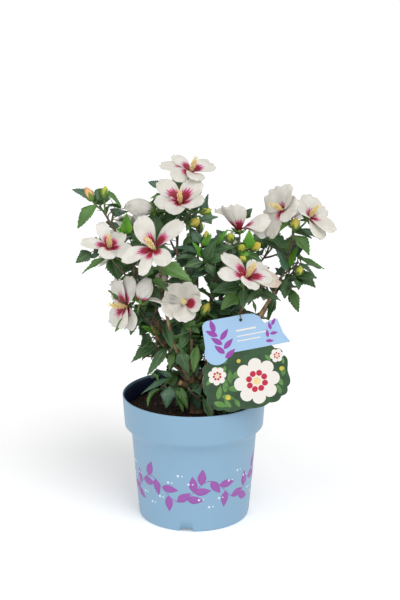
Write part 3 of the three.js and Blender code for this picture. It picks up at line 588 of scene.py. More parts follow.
def makeSoil():
    top, edge = soil["top"], soil["top"] - soil["edgeDrop"]
    outer = lipRadius(edge) - pot["wall"] - 0.6
    body = []
    for k in range(soil["rings"], 0, -1):
        radius = outer * (k / soil["rings"]) ** 0.8
        slope = max(0.0, (radius - soil["flatRadius"]) / (outer - soil["flatRadius"]))
        ring = []
        for a in turns(soil["segments"]):
            x, y = radius * math.cos(a), radius * math.sin(a)
            rough = noise.noise(Vector((x / 9, y / 9, 1.5))) + 0.6 * noise.noise(Vector((x / 3, y / 3, 7)))
            ring.append([x, y, top - soil["edgeDrop"] * slope - 1.2 + soil["roughness"] * rough])
        body.append(ring)
    skirt = [[x, y, edge - 12] for x, y, _ in body[0]]
    body, crest = np.array([skirt] + body), spot(0, 0, top - 1)
    mound = makeObject("peatMound", [closeRings(body, spot(0, 0, edge - 12), crest)], finishes["peat"])
    surface = closeRings(body[2:] - up * 0.2, spot(0, 0, edge - 5), crest)
    carrier = makeObject("peatTop", [surface], finishes["peat"])
    crumbs, bits = (strewnPiece(name, carrier, finish) for name, finish in (
        ("peatCrumbs", "peatCrumb"), ("barkBits", "barkBit")))
    drop(carrier)
    settle(mound, ["soil"])
    settle(crumbs)
    settle(bits)


strew = strewTree()
makeSoil()


def limb(on, at, tip, sweep, foot, end):  # foot and end are its radii
    return {"on": on, "at": at, "tip": tip, "sweep": sweep, "foot": foot, "end": end}


trunk = {"foot": [4, -18, 145], "top": [-1, -15, 188], "footRadius": 6.8, "topRadius": 5.6, "flare": 3.4}
stub = limb("trunk", 0.8, [-17, -26, 190], 0, 4.2, 3.8)
boughs = {
    "bough_left": limb("trunk", 0.72, [-57, -8, 292], 6, 3.6, 2.2),
    "bough_top": limb("trunk", 0.97, [-19, -4, 336], -4, 3.4, 2),
    "bough_right": limb("trunk", 0.7, [105, 12, 303], 10, 3.4, 2.1),
    "bough_front": limb("trunk", 0.9, [-36, -56, 300], 9, 3.2, 2),
    "bough_centre": limb("trunk", 0.92, [24, 8, 305], 4, 3, 2),
    "bough_front_right": limb("trunk", 0.62, [62, -58, 306], 12, 3, 2),
    "bough_middle": limb("trunk", 0.95, [-3, -46, 257], 6, 2.6, 1.9),
    "bough_inner": limb("trunk", 0.8, [30, -26, 262], 5, 2.6, 1.8),
    "bough_back_left": limb("trunk", 0.6, [-58, 56, 288], 8, 3.2, 2),
    "bough_back": limb("trunk", 0.85, [4, 66, 300], 8, 3.2, 2),
    "bough_back_right": limb("trunk", 0.55, [66, 62, 286], 8, 3, 2),
    "bough_back_low": limb("trunk", 0.42, [-14, 58, 226], 4, 2.4, 1.7),
    "bough_left_front": limb("bough_left", 0.62, [-69, -30, 303], 5, 2.2, 1.8),
    "bough_left_low": limb("bough_left", 0.5, [-54, -38, 272], 5, 2.1, 1.7),
    "bough_low_left": limb("bough_left", 0.26, [-36, -34, 230], 3, 1.9, 1.6),
    "bough_right_low": limb("bough_right", 0.6, [96, 38, 272], 5, 2.1, 1.7),
}
barkRelief = {"ringStep": 1.3, "sides": 18, "fissure": 0.28, "wart": 0.22, "scarEvery": 21, "scar": 0.5}
lines = {}


# A limb's mesh: a bent tube with ridges that run along it, small warts, and a swollen scar at each old leaf.
def limbPart(line, foot, end, flare, seed):
    steps = max(12, int(line.length / barkRelief["ringStep"]))
    sides, scarEvery = barkRelief["sides"], barkRelief["scarEvery"]
    shares = np.linspace(0, 1, steps)
    radii = np.zeros((steps, sides))
    for i, t in enumerate(shares):
        girth = foot + (end - foot) * t + flare * (1 - t) ** 4
        length = t * line.length
        scarTurn = seed + math.floor(length / scarEvery) * 2.4
        scarNear = math.exp(-((length % scarEvery - scarEvery / 2) / 1.6) ** 2)
        for k in range(sides):
            angle = k * math.tau / sides
            x, y = math.cos(angle), math.sin(angle)
            ridge = noise.noise(Vector((x * 2.6, y * 2.6, length / 14 + seed)))
            wart = max(0.0, noise.noise(Vector((x * 4, y * 4, length / 1.7 + seed * 3))) - 0.25)
            scar = scarNear * max(0.0, math.cos(angle - scarTurn)) ** 2
            fluted = girth * (1 + 0.05 * math.cos(3 * angle + seed) * (1 - t) ** 3)
            relief = girth / 4 * (barkRelief["fissure"] * ridge + barkRelief["wart"] * wart)
            radii[i, k] = fluted + relief + barkRelief["scar"] * scar * min(1, girth / 3)
    return tubePart(np.array([line.point(t) for t in shares]), radii, sides)


cell = 5.0
taken = {}  # by cell, the places where something already grows


def cellOf(p):
    return int(p[0] // cell), int(p[1] // cell), int(p[2] // cell)


def occupy(points):
    for p in points:
        taken.setdefault(cellOf(p), []).append(p)


def takeLine(line, start=0.0):
    occupy([line.point(t) for t in np.linspace(start, 1, max(3, int(line.length / 4)))])


def crowded(points, gap):
    for p in points:
        x, y, z = cellOf(p)
        for near in itertools.product((x - 1, x, x + 1), (y - 1, y, y + 1), (z - 1, z, z + 1)):
            for q in taken.get(near, ()):
                away = p - q
                if away @ away < gap * gap:
                    return True
    return False


def makeWood():
    lines["trunk"] = Line(trunk["foot"], (spot(*trunk["foot"]) + spot(*trunk["top"])) / 2, trunk["top"])
    parts = [limbPart(lines["trunk"], trunk["footRadius"], trunk["topRadius"], trunk["flare"], 1)]
    takeLine(lines["trunk"])
    for i, (name, bough) in enumerate({"pruned_stub": stub, **boughs}.items()):
        lines[name] = boughLine(lines[bough["on"]].point(bough["at"]), bough["tip"], bough["sweep"])
        parts.append(limbPart(lines[name], bough["foot"], bough["end"], 0.8, i + 2))
        takeLine(lines[name], 0.1)
    settle(makeObject("woodyStems", parts, finishes["bark"]), ["trunk", "pruned_stub", *boughs])
    face, along = lines["pruned_stub"].point(1), lines["pruned_stub"].along(1)
    rings = [(0.0, 3.7), (1.5, 3.75), (1.75, 3.3), (1.35, 2.4), (1.5, 1.2)]  # the old cut and its raised edge
    body = np.array([[face + along * h + around(along, a) * r for a in turns(20)] for h, r in rings])
    settle(makeObject("cutStub", [closeRings(body, face, face + along * 1.5)], finishes["cutWood"]))


makeWood()


def evenly(spread, broad=0.8):
    return [(0, spread + change, 1, broad) for change in (0, 4, -3, 2, -4)]


# The last item of each listed leaf is its tint. The blue-green tint among them is painted shade.
sprays = {
    "far_left_spray": {
        "on": "bough_left", "tip": [-121, 2, 421], "bare": 0.4, "twigs": 2, "leaf": 50, "seed": 11,
        "blooms": [{"heart": [-38, 18, 308], "turn": 235, "lift": 50, "roll": 33, "size": 0.7,
                    "petals": [(0, -1, 1, 0.9)] * 5, "eyes": [0.08] * 5, "bend": -54,
                    "faded": [0, 1, 2, 3, 4]}],
        "buds": [[-134, 0, 436], [-114, 3, 438]],
        "leaves": [
            ((-130, 0, 433), (-155, -6, 444), 12, "blue"), ((-125, -2, 423), (-148, -10, 393), 17, "mid"),
            ((-114, 3, 439), (-92, -5, 421), 10, "mid"), ((-95, 6, 407), (-108, 10, 415), 12, "blue"),
            ((-90, 0, 417), (-80, 0, 426), 7, "young"), ((-86, -10, 387), (-85, -16, 415), 16, "young"),
            ((-87, -8, 387), (-98, -16, 394), 9, "young"), ((-96, 3, 393), (-110, 7, 392), 9, "blue"),
            ((-80, -2, 387), (-67, -6, 371), 12, "dark"), ((-77, -3, 344), (-97, -11, 330), 13, "dark")]},
    "left_spray": {
        "on": "bough_left_front", "tip": [-98, -42, 354], "bare": 0.1, "twigs": 4, "leaf": 52, "seed": 23,
        "blooms": [{"heart": [-107, -32, 373], "turn": 275, "lift": 55, "roll": 312, "size": 0.94,
                    "petals": [(10, 80, 0.72, 0.7), (-3, 64, 0.96, 0.52), (-14, 79, 0.96, 0.56),
                               (2, 60, 0.96, 0.74), (-14, 66, 0.98, 0.86)]}],
        "buds": [],
        "leaves": [
            ((-131, -28, 367), (-150, -36, 355), 16, "dark"),
            ((-121, -27, 364), (-136, -33, 359), 7, "blue"),
            ((-112, -31, 359), (-142, -39, 341), 10, "mid"),
            ((-105, -23, 357), (-95, -37, 331), 22, "dark"),
            ((-123, -24, 381), (-132, -28, 384), 7, "mid")]},
    "lower_left_spray": {
        "on": "bough_left_low", "tip": [-68, -44, 290], "bare": 0.1, "twigs": 3, "leaf": 50, "seed": 31,
        "blooms": [{"heart": [-85, -46, 300], "turn": 215, "lift": 12, "roll": 346, "size": 1,
                    "petals": [(4, 84, 0.97, 1.05), (-20, 74, 0.94, 0.95), (6, 88, 0.98, 0.72),
                               (30, 62, 0.95, 0.66), (-38, 84, 0.9, 0.7)]},
                   {"heart": [-66, -76, 317], "turn": 330, "lift": 70, "roll": 79, "size": 0.8,
                    "petals": [(14, -2, 1.1, 1), (20, -2, 1.1, 1.05), (-8, -1, 1.08, 1.05),
                               (10, -2, 1.1, 1), (0, 84, 1, 0.62)],
                    "eyes": [0.2, 0.24, 0.24, 0.2, 0.1], "bends": [-56, -56, -56, -56, 26]}],
        "buds": [],
        "leaves": [
            ((-97, -42, 308), (-109, -46, 321), 7, "mid"), ((-69, -44, 292), (-80, -56, 265), 20, "dark"),
            ((-87, -64, 291), (-99, -72, 274), 7, "mid"), ((-52, -41, 287), (-67, -47, 282), 13, "blue"),
            ((-46, -31, 257), (-67, -39, 272), 13, "young")]},
    "low_left_spray": {
        "on": "bough_low_left", "tip": [-56, -44, 246], "bare": 0, "twigs": 2, "leaf": 56, "seed": 47,
        "blooms": [], "buds": [],
        "leaves": [
            ((-45, -41, 250), (-81, -53, 227), 17, "dark"), ((-37, -44, 276), (-27, -56, 246), 15, "dark"),
            ((-35, -41, 244), (-59, -55, 210), 14, "dark"), ((-26, -36, 235), (-32, -46, 214), 9, "mid")]},
    "front_spray": {
        "on": "bough_front", "tip": [-42, -74, 364], "bare": 0.1, "twigs": 4, "leaf": 52, "seed": 53,
        "blooms": [{"heart": [-48, -88, 386], "turn": 239, "lift": 40, "roll": 324, "size": 1.06,
                    "petals": [(2, 86, 1.1, 0.7), (-2, 50, 1.02, 0.74), (20, 76, 0.97, 0.58),
                               (4, 77, 0.98, 0.42), (-15, 73, 0.96, 0.6)]}],
        "buds": [],
        "leaves": [
            ((-53, -63, 358), (-61, -69, 345), 12, "mid"), ((-40, -85, 364), (-2, -95, 347), 22, "mid"),
            ((-35, -62, 338), (-8, -66, 335), 10, "dark"), ((-52, -67, 341), (-33, -73, 328), 12, "mid"),
            ((-51, -57, 326), (-41, -63, 315), 12, "dark")]},
    "middle_spray": {
        "on": "bough_middle", "tip": [4, -54, 290], "bare": 0, "twigs": 3, "leaf": 50, "seed": 61,
        "blooms": [{"heart": [-11, -68, 311], "turn": 260, "lift": 22, "roll": 333, "size": 0.76,
                    "petals": [(-4, 56, 0.98, 1.2), (2, 56, 0.98, 1.2), (-8, 58, 0.98, 1.2),
                               (-4, 56, 0.94, 1.15), (4, 50, 0.9, 0.84)],
                    "eyes": [0.04, 0.04, 0.04, 0.04, 0.5], "bends": [-18, -18, -18, -18, -10],
                    "overlap": 0.45}],
        "buds": [[15, -60, 300]],
        "leaves": [
            ((7, -54, 292), (-30, -68, 285), 18, "dark"), ((3, -56, 284), (-17, -68, 269), 17, "dark"),
            ((-12, -58, 284), (8, -66, 271), 15, "mid"), ((-1, -52, 269), (-18, -60, 246), 17, "dark"),
            ((-18, -54, 244), (-7, -62, 215), 18, "dark"), ((4, -54, 250), (0, -60, 216), 13, "mid"),
            ((-7, -52, 245), (-23, -60, 253), 16, "dark"), ((-5, -41, 227), (-22, -53, 235), 17, "dark"),
            ((8, -47, 249), (25, -51, 241), 12, "mid")]},
    "top_spray": {
        "on": "bough_top", "tip": [-12, 2, 424], "bare": 0.16, "twigs": 4, "leaf": 50, "seed": 71,
        "blooms": [{"heart": [-4, 12, 463], "turn": 302, "lift": 58, "roll": 263, "size": 0.9,
                    "petals": [(14, 81, 0.96, 0.88), (46, 86, 0.86, 0.6), (8, 97, 1.1, 0.6),
                               (-12, 86, 0.95, 0.75), (-30, 66, 0.95, 0.8)]},
                   {"heart": [-17, -22, 429], "turn": 263, "lift": 53, "roll": 326, "size": 0.92,
                    "petals": [(-12, 64, 1.02, 1), (18, 58, 1.04, 0.8), (8, 63, 0.96, 0.75),
                               (-15, 61, 0.96, 0.8), (-4, 64, 0.96, 0.9)],
                    "eyes": [0.44, 0.44, 0.34, 0.34, 0.4]},
                   {"heart": [-52, -20, 421], "turn": 192, "lift": 10, "roll": 14, "size": 0.84,
                    "petals": [(0, -1, 1.14, 0.95)] * 5, "eyes": [0.04] * 5, "bend": -53}],
        "buds": [[1, -20, 404], [15, -8, 416]],
        "leaves": [
            ((-44, 15, 441), (-59, 19, 449), 13, "blue"), ((-38, -18, 438), (-56, -26, 437), 7, "mid"),
            ((-22, 25, 434), (-24, 27, 455), 18, "dark"), ((-16, 15, 440), (-22, 13, 452), 8, "mid"),
            ((-48, -13, 387), (-51, -9, 419), 24, "dark"), ((-6, -16, 414), (-25, -24, 415), 16, "dark"),
            ((13, -8, 411), (18, -4, 438), 10, "blue"), ((7, -20, 407), (31, -20, 411), 10, "blue"),
            ((-2, -18, 404), (-9, -24, 394), 9, "dark")]},
    "inner_spray": {
        "on": "bough_inner", "tip": [27, -34, 342], "bare": 0.1, "twigs": 4, "leaf": 52, "seed": 83,
        "blooms": [], "buds": [[17, -18, 384]],
        "leaves": [
            ((8, -20, 378), (-4, -16, 393), 14, "blue"), ((11, -36, 361), (-1, -40, 383), 9, "young"),
            ((12, -27, 375), (22, -29, 390), 9, "young"), ((3, -23, 365), (-25, -27, 372), 12, "blue"),
            ((3, -30, 360), (-24, -36, 360), 12, "dark"), ((12, -40, 357), (-12, -48, 353), 13, "dark"),
            ((13, -36, 356), (29, -40, 386), 18, "dark"), ((18, -24, 366), (54, -28, 374), 13, "dark"),
            ((30, -26, 375), (44, -30, 397), 8, "young"), ((18, -38, 357), (46, -46, 367), 13, "dark"),
            ((17, -41, 356), (26, -49, 338), 14, "dark"), ((32, -38, 349), (57, -48, 341), 10, "dark")]},
    "centre_spray": {
        "on": "bough_centre", "tip": [54, -6, 372], "bare": 0.12, "twigs": 3, "leaf": 50, "seed": 97,
        "blooms": [{"heart": [58, -5, 391], "turn": 150, "lift": 80, "roll": 128, "size": 1,
                    "petals": [(34, 42, 0.98, 0.8), (22, 27, 1, 0.55), (-6, 26, 1, 0.8),
                               (-4, 84, 1.04, 1), (-40, 108, 0.95, 1)],
                    "twists": [0, 0, 0, 1.4, 1.2], "frill": 1.8}],
        "buds": [[47, -24, 385], [61, -34, 374], [78, -28, 374], [62, -40, 361]],
        "leaves": [
            ((39, -8, 381), (29, -6, 391), 10, "blue"), ((66, 8, 403), (75, 10, 416), 12, "dark"),
            ((70, -36, 374), (70, -40, 399), 14, "young"), ((69, -38, 365), (86, -46, 359), 12, "dark")]},
    "right_spray": {
        "on": "bough_right", "tip": [128, 8, 384], "bare": 0.2, "twigs": 3, "leaf": 50, "seed": 101,
        "blooms": [{"heart": [115, 4, 415], "turn": 215, "lift": 28, "roll": 356, "size": 0.95,
                    "petals": [(-16, 67, 0.89, 1.2), (-6, 78, 0.89, 1.2), (-30, 88, 0.86, 1.05),
                               (-30, 87, 1.02, 0.6), (-8, 75, 0.92, 1.2)],
                    "eyes": [0.15, 0.14, 0.15, 0.24, 0.18], "bend": 20, "frill": 1.9},
                   {"heart": [148, 2, 405], "turn": 310, "lift": 50, "roll": 342, "size": 0.93,
                    "petals": [(-18, 80, 0.96, 1), (20, 54, 0.96, 0.8), (44, 86, 0.96, 0.7),
                               (2, 72, 1.05, 1), (16, 88, 0.94, 0.8)],
                    "eyes": [0.22, 0.2, 0.24, 0.24, 0.2]}],
        "buds": [[130, -12, 400]],
        "leaves": [
            ((117, 6, 364), (97, 2, 384), 17, "dark"), ((114, 16, 359), (90, 16, 371), 10, "dark"),
            ((122, 10, 332), (106, 4, 363), 14, "blue"), ((124, -2, 402), (109, -10, 390), 9, "mid"),
            ((119, 19, 356), (128, 23, 373), 10, "mid"), ((127, 14, 383), (153, 8, 376), 14, "dark"),
            ((132, 2, 381), (149, -8, 358), 17, "mid"), ((138, 4, 391), (163, -4, 377), 8, "blue")]},
    "right_low_spray": {
        "on": "bough_right_low", "tip": [130, 20, 328], "bare": 0.1, "twigs": 3, "leaf": 54, "seed": 113,
        "blooms": [], "buds": [[137, 4, 334]],
        "leaves": [
            ((107, 14, 294), (98, 10, 265), 13, "dark"), ((124, 12, 336), (135, 8, 365), 16, "young"),
            ((136, 18, 349), (171, 8, 335), 7, "mid"), ((137, 10, 342), (159, 2, 325), 7, "dark"),
            ((130, 22, 325), (161, 12, 321), 13, "dark"), ((120, 31, 320), (107, 31, 331), 9, "blue"),
            ((123, 25, 319), (119, 17, 293), 17, "dark"), ((129, 38, 299), (139, 28, 271), 14, "mid")]},
    "front_right_spray": {
        "on": "bough_front_right", "tip": [68, -68, 330], "bare": 0.2, "twigs": 3, "leaf": 50, "seed": 127,
        "blooms": [{"heart": [66, -80, 348], "turn": 308, "lift": 56, "roll": 304, "size": 1,
                    "petals": [(-10, 88, 0.92, 0.8), (12, 79, 1, 0.66), (-14, 88, 0.97, 0.6),
                               (-8, 73, 0.72, 0.8), (-4, 76, 1.04, 1)], "fadedTips": [4]}],
        "buds": [],
        "leaves": [
            ((58, -70, 334), (23, -82, 329), 20, "dark"), ((56, -67, 323), (34, -77, 305), 21, "mid"),
            ((62, -66, 333), (62, -74, 304), 13, "dark"), ((86, -68, 329), (66, -76, 313), 12, "dark"),
            ((72, -64, 328), (110, -68, 314), 17, "dark"), ((74, -61, 314), (78, -61, 295), 4, "mid")]},
    "basal_left_spray": {
        "on": "trunk", "at": 0.5, "tip": [-46, -44, 196], "bare": 0.55, "twigs": 0, "leaf": 40, "seed": 131,
        "blooms": [], "buds": [],
        "leaves": [
            ((-31, -39, 201), (-68, -51, 184), 9, "blue"), ((-28, -38, 202), (-48, -34, 211), 8, "blue"),
            ((-31, -40, 191), (-36, -50, 164), 18, "blue"), ((-27, -36, 186), (-14, -50, 158), 10, "mid"),
            ((-17, -42, 189), (-8, -52, 163), 10, "mid")]},
    "basal_front_spray": {
        "on": "trunk", "at": 0.38, "tip": [8, -60, 184], "bare": 0.2, "twigs": 2, "leaf": 52, "seed": 149,
        "blooms": [], "buds": [],
        "leaves": [
            ((12, -72, 186), (26, -88, 152), 13, "dark")]},
    "basal_right_spray": {
        "on": "trunk", "at": 0.36, "tip": [50, -22, 192], "bare": 0.2, "twigs": 3, "leaf": 52, "seed": 151,
        "blooms": [], "buds": [],
        "leaves": [
            ((12, -23, 195), (24, -29, 215), 13, "blue"), ((16, -21, 181), (38, -29, 177), 13, "dark")]},
    "back_left_spray": {
        "on": "bough_back_left", "tip": [-84, 78, 352], "bare": 0.05, "twigs": 3, "leaf": 52, "seed": 163,
        "blooms": [{"heart": [-79, 90, 360], "turn": 128, "lift": 44, "roll": 20, "size": 0.92,
                    "petals": evenly(50)},
                   {"heart": [-97, 56, 332], "turn": 150, "lift": 24, "roll": 50, "size": 0.82,
                    "petals": evenly(42)}],
        "buds": [[-64, 84, 380]]},
    "back_spray": {
        "on": "bough_back", "tip": [8, 78, 390], "bare": 0.05, "twigs": 3, "leaf": 52, "seed": 173,
        "blooms": [{"heart": [-15, 88, 400], "turn": 100, "lift": 40, "roll": 75, "size": 0.92,
                    "petals": evenly(48)},
                   {"heart": [49, 104, 317], "turn": 80, "lift": 30, "roll": 10, "size": 0.9,
                    "petals": evenly(50)}],
        "buds": [[8, 88, 372]]},
    "back_right_spray": {
        "on": "bough_back_right", "tip": [104, 80, 344], "bare": 0.05, "twigs": 3, "leaf": 52, "seed": 181,
        "blooms": [{"heart": [122, 82, 383], "turn": 48, "lift": 46, "roll": 130, "size": 0.9,
                    "petals": evenly(48)},
                   {"heart": [67, 100, 286], "turn": 70, "lift": 14, "roll": 90, "size": 0.82,
                    "petals": evenly(44)}],
        "buds": [[104, 92, 356]]},
    "back_low_spray": {
        "on": "bough_back_low", "tip": [-26, 90, 262], "bare": 0, "twigs": 2, "leaf": 54, "seed": 191,
        "blooms": [{"heart": [-18, 104, 266], "turn": 100, "lift": 26, "roll": 60, "size": 0.9,
                    "petals": evenly(50)}],
        "buds": []},
}
blooms = [bloom for spray in sprays.values() for bloom in spray["blooms"]]
petal = {
    "length": 41, "width": 36, "columns": 21, "eyeRows": 6, "haloRows": 2, "whiteRows": 11, "thickness": 0.45,
    "rootRadius": 2.2, "bend": 26, "closedBend": -18, "eye": 0.36, "tooth": 0.05, "overlap": 0.9,
    "frill": 1.3, "frills": 5, "vein": 0.16, "corner": 0.7, "fadedRow": 6, "smallestEye": 0.05,
}
halfOpen = 34  # in degrees: petals that spread less bend inwards, and a bloom of them keeps its calyx shut
calyxSize = {"lobe": 15, "lobeWidth": 8, "bract": 12, "bracts": 7, "stalkEnd": 6.5}
columnSize = {
    "length": 24, "core": 1.5, "sleeve": 3.1, "style": 4, "anther": (1.4, 1.1, 1.0), "spacing": 0.0019,
    "density": 6e5, "smallest": 0.8, "largest": 1.25,
}


def bloomPlace(bloom):  # where it is and which way it faces
    return spot(*bloom["heart"]), heading(bloom["turn"], bloom["lift"])


# Points of a petal or sepal at shares u of its length and v across it, for many at once. It is part of a
# bowl round the bloom's axis: from its root it rises at one angle and bends over to another.
def bowlPoints(bloom, length, width, roll, angles, u, v, shape, lift):
    heart, axis = bloomPlace(bloom)
    rise, gain = math.radians(angles[0]), math.radians(angles[1] - angles[0]) + 1e-4
    angle = rise + gain * u
    radius = petal["rootRadius"] * bloom["size"] + length * (math.cos(rise) - np.cos(angle)) / gain
    height = length * (np.sin(angle) - math.sin(rise)) / gain
    turn = roll - v * width / 2 * shape(u) / np.maximum(radius, 2)
    radius = radius - lift * np.cos(angle)
    height = height + lift * np.sin(angle)
    side = around(axis, 0)
    other = np.cross(axis, side)
    outward = side * np.cos(turn)[..., None] + other * np.sin(turn)[..., None]
    return heart + axis * height[..., None] + outward * radius[..., None]


def petalShape(u):  # its half width, as a share, along its length
    claw = 0.16 + 0.84 * np.sin(np.minimum(u / 0.68, 1) * math.pi / 2) ** 1.35
    return claw * (1 - 0.1 * np.maximum(u - petal["corner"], 0) / (1 - petal["corner"]))


def sepalShape(u):
    return np.maximum((0.5 + 1.1 * u) * (1 - u) ** 0.9, 0.03)


def petalAngles(bloom, index):  # from the bloom's axis, at the petal's root and at its tip
    spread = bloom["petals"][index][1]
    usual = petal["bend"] if spread > halfOpen else petal["closedBend"]
    bend = bloom.get("bends", [bloom.get("bend", usual)] * 5)[index]
    return spread - bend, spread + bend


def petalGrids(bloom, index, draw):  # the eye, its pale margin and the rest of one petal
    corner = petal["corner"]
    v = np.sin(np.linspace(-math.pi / 2, math.pi / 2, petal["columns"]))
    offset, _, reach, broad = bloom["petals"][index]
    phase, sway, notch = draw() * math.tau, draw() * math.tau, (draw() - 0.5) * 0.9
    end = corner + (1 - corner) * np.maximum(1 - np.abs(v) ** 2.3, 0) ** (1 / 2.3)
    end += 0.012 * np.sin(9 * v + phase) - 0.035 * draw() * np.exp(-((v - notch) / 0.16) ** 2)
    teeth = np.array([(1 if c % 2 else -1) * (0.4 + 0.9 * draw()) for c in range(len(v))])
    eyeShare = bloom.get("eyes", [petal["eye"]] * 5)[index]
    eyeEnd = np.maximum(eyeShare * (1 - 0.62 * np.abs(v) ** 2.6) + petal["tooth"] * teeth, 0.03)
    haloEnd = eyeEnd + 0.045 + 0.06 * np.maximum(teeth, 0) + 0.02 * (1 - v ** 2)
    roll = math.radians(bloom["roll"] + offset + index * 72)
    length = petal["length"] * bloom["size"] * reach * (0.98 + 0.04 * draw())
    width = petal["width"] * bloom["size"] * broad * (0.97 + 0.06 * draw())
    twist = bloom.get("twists", [0] * 5)[index]  # how far the blade turns about its own middle line
    slant = math.hypot(1, twist)
    overlap = bloom.get("overlap", petal["overlap"])
    frill, frills = petal["frill"] * bloom.get("frill", 1), petal["frills"] + 2 * draw()
    bands = [(0 * v, eyeEnd, petal["eyeRows"]), (eyeEnd, haloEnd, petal["haloRows"]),
             (haloEnd, end, petal["whiteRows"])]
    angles, grids = petalAngles(bloom, index), []
    for first, last, rows in bands:
        u = first + (last - first) * np.linspace(0, 1, rows + 1)[:, None]
        w = np.broadcast_to(v, u.shape)
        margin = np.maximum(np.abs(w), u / end)
        lift = overlap * w + frill * (margin * u) ** 4 * np.sin(frills * np.arctan2(w, u - 0.45) + phase)
        lift = lift + petal["vein"] * np.sin(w * 19) * np.minimum(u * 2, 1) * (1 - u)
        lift = lift + 1.1 * u ** 2 * np.sin(w * 1.6 + sway) - 0.9 * w ** 2 * u ** 2
        lift = lift - twist * w * u * petalShape(u) * width / 2 / slant
        grids.append(bowlPoints(bloom, length, width / slant, roll, angles, u, w, petalShape, lift)[None])
    return grids


def makePetals(bloom, draw, parts):
    thin = petal["thickness"]
    for index in range(5):
        eye, halo, white = petalGrids(bloom, index, draw)
        plain = bloom.get("eyes", [1] * 5)[index] < petal["smallestEye"]
        parts["petals" if plain else "petalEyes"].append(bladeParts(eye, thin))
        parts["petals" if plain else "petalHalos"].append(bladeParts(halo, thin))
        last = white.shape[1] - 1
        fresh = last  # the row where the petal begins to fade
        if index in bloom.get("faded", ()):
            fresh = 0
        elif index in bloom.get("fadedTips", ()):
            fresh = petal["fadedRow"]
        if fresh:
            parts["petals"].append(bladeParts(white[:, :fresh + 1], thin))
        if fresh < last:
            parts["fadedPetals"].append(bladeParts(white[:, fresh:], thin))
        occupy(white[0, ::3, ::4].reshape(-1, 3))
        occupy(eye[0, ::3, ::6].reshape(-1, 3))


def sepalPart(under, length, width, roll, angles, hollow):  # one pointed lobe of a calyx
    u = np.linspace(0, 1, 8)[:, None] + np.zeros(5)
    v = np.zeros((8, 1)) + np.linspace(-1, 1, 5)
    grid = bowlPoints(under, length, width, roll, angles, u, v, sepalShape, hollow - 0.5 * v ** 2)
    return bladeParts(grid[None], 0.5)


def makeCalyx(bloom, draw, parts):
    size, end = bloom["size"], calyxSize["stalkEnd"]
    heart, axis = bloomPlace(bloom)
    mean = sum(spread for _, spread, _, _ in bloom["petals"]) / 5
    under = {**bloom, "heart": list(heart - axis * 2.2 * size)}
    for index in range(5):
        opened = min(mean, 74) * 0.86 + 8 + 10 * draw()
        angles = (opened - 4, opened + 16) if mean > halfOpen else (petalAngles(bloom, 0)[0] + 8, 12)
        parts.append(sepalPart(under, calyxSize["lobe"] * size, calyxSize["lobeWidth"] * size,
                               math.radians(bloom["roll"] + 36) + index * math.tau / 5, angles, -0.9))
    cup = [(-end * size, 1.3)]
    cup += [(high * size, wide * size) for high, wide in ((-5.6, 2.6), (-3.6, 3.8), (-1.6, 4.1), (-0.4, 3.1))]
    parts.append(tubePart([heart + axis * h for h, _ in cup], [r for _, r in cup], 12))
    for index in range(calyxSize["bracts"]):
        out = around(axis, index * math.tau / calyxSize["bracts"] + draw())
        root = heart - axis * end * size * 0.8 + out * 1.5
        tip = root + unit(axis * 0.7 + out * (0.7 + 0.5 * draw())) * calyxSize["bract"] * size
        line = leavingLine(root, out, tip)
        parts.append(tubePart([line.point(t) for t in (0, 0.35, 0.7, 1)], [0.5, 0.65, 0.45, 0.15], 5))


def makeColumn(bloom, draw, number, cores, sleeves):  # the column, its styles and the sleeve for the anthers
    size = bloom["size"]
    heart, axis = bloomPlace(bloom)
    lean = axis + around(axis, draw() * 6) * 0.06
    spine = leavingLine(heart - axis, axis, heart + unit(lean) * columnSize["length"] * size)
    radii = np.linspace(columnSize["core"] * 1.5, columnSize["core"] * 0.8, 9) * size
    cores.append(tubePart([spine.point(t) for t in np.linspace(0, 1, 9)], radii, 10))
    radii = columnSize["sleeve"] * size * np.sin(np.linspace(0.35, 2.75, 9)) ** 0.35
    sleeves.append(tubePart([spine.point(t) for t in np.linspace(0.22, 0.93, 9)], radii, 10))
    for index in range(5):
        out = around(spine.along(1), index * math.tau / 5 + number)
        tip = spine.end + unit(spine.along(1) * 1.1 + out) * columnSize["style"] * size
        stops = [spine.end - axis, (spine.end + tip) / 2, tip, tip + out * 0.6]
        cores.append(tubePart(stops, [0.35, 0.3, 0.75, 0.5], 6))
    occupy([spine.point(t) for t in (0.3, 0.6, 1)])


def growPiece(name, parts, finish):  # a piece that stands for every mass of foliage
    settle(makeObject(name, parts, finishes[finish]), list(sprays))


def makeBlooms():
    parts = {"petalEyes": [], "petalHalos": [], "petals": [], "fadedPetals": []}
    calyces, cores, sleeves = [], [], []
    for number, bloom in enumerate(blooms):
        draw = seeded(300 + number * 17)
        makePetals(bloom, draw, parts)
        makeCalyx(bloom, draw, calyces)
        makeColumn(bloom, draw, number, cores, sleeves)
    for name, finish in (("petalEyes", "petalEye"), ("petalHalos", "petalHalo"), ("petals", "petal"),
                         ("fadedPetals", "petalFaded")):
        growPiece(name, parts[name], finish)
    growPiece("calyces", calyces, "calyx")
    growPiece("columns", cores, "cream")
    sleeve = makeObject("sleeves", sleeves, finishes["cream"])
    anther = lumpBit("anther", columnSize["anther"], 21, finishes["cream"])
    anthers = runTree("anthers", sleeve, strew, {
        "Bit": anther, "Spacing": columnSize["spacing"], "Density": columnSize["density"], "Seed": 4,
        "Smallest": columnSize["smallest"], "Largest": columnSize["largest"], "Finish": finishes["cream"]})
    drop(sleeve, anther)
    settle(anthers, list(sprays))


makeBlooms()


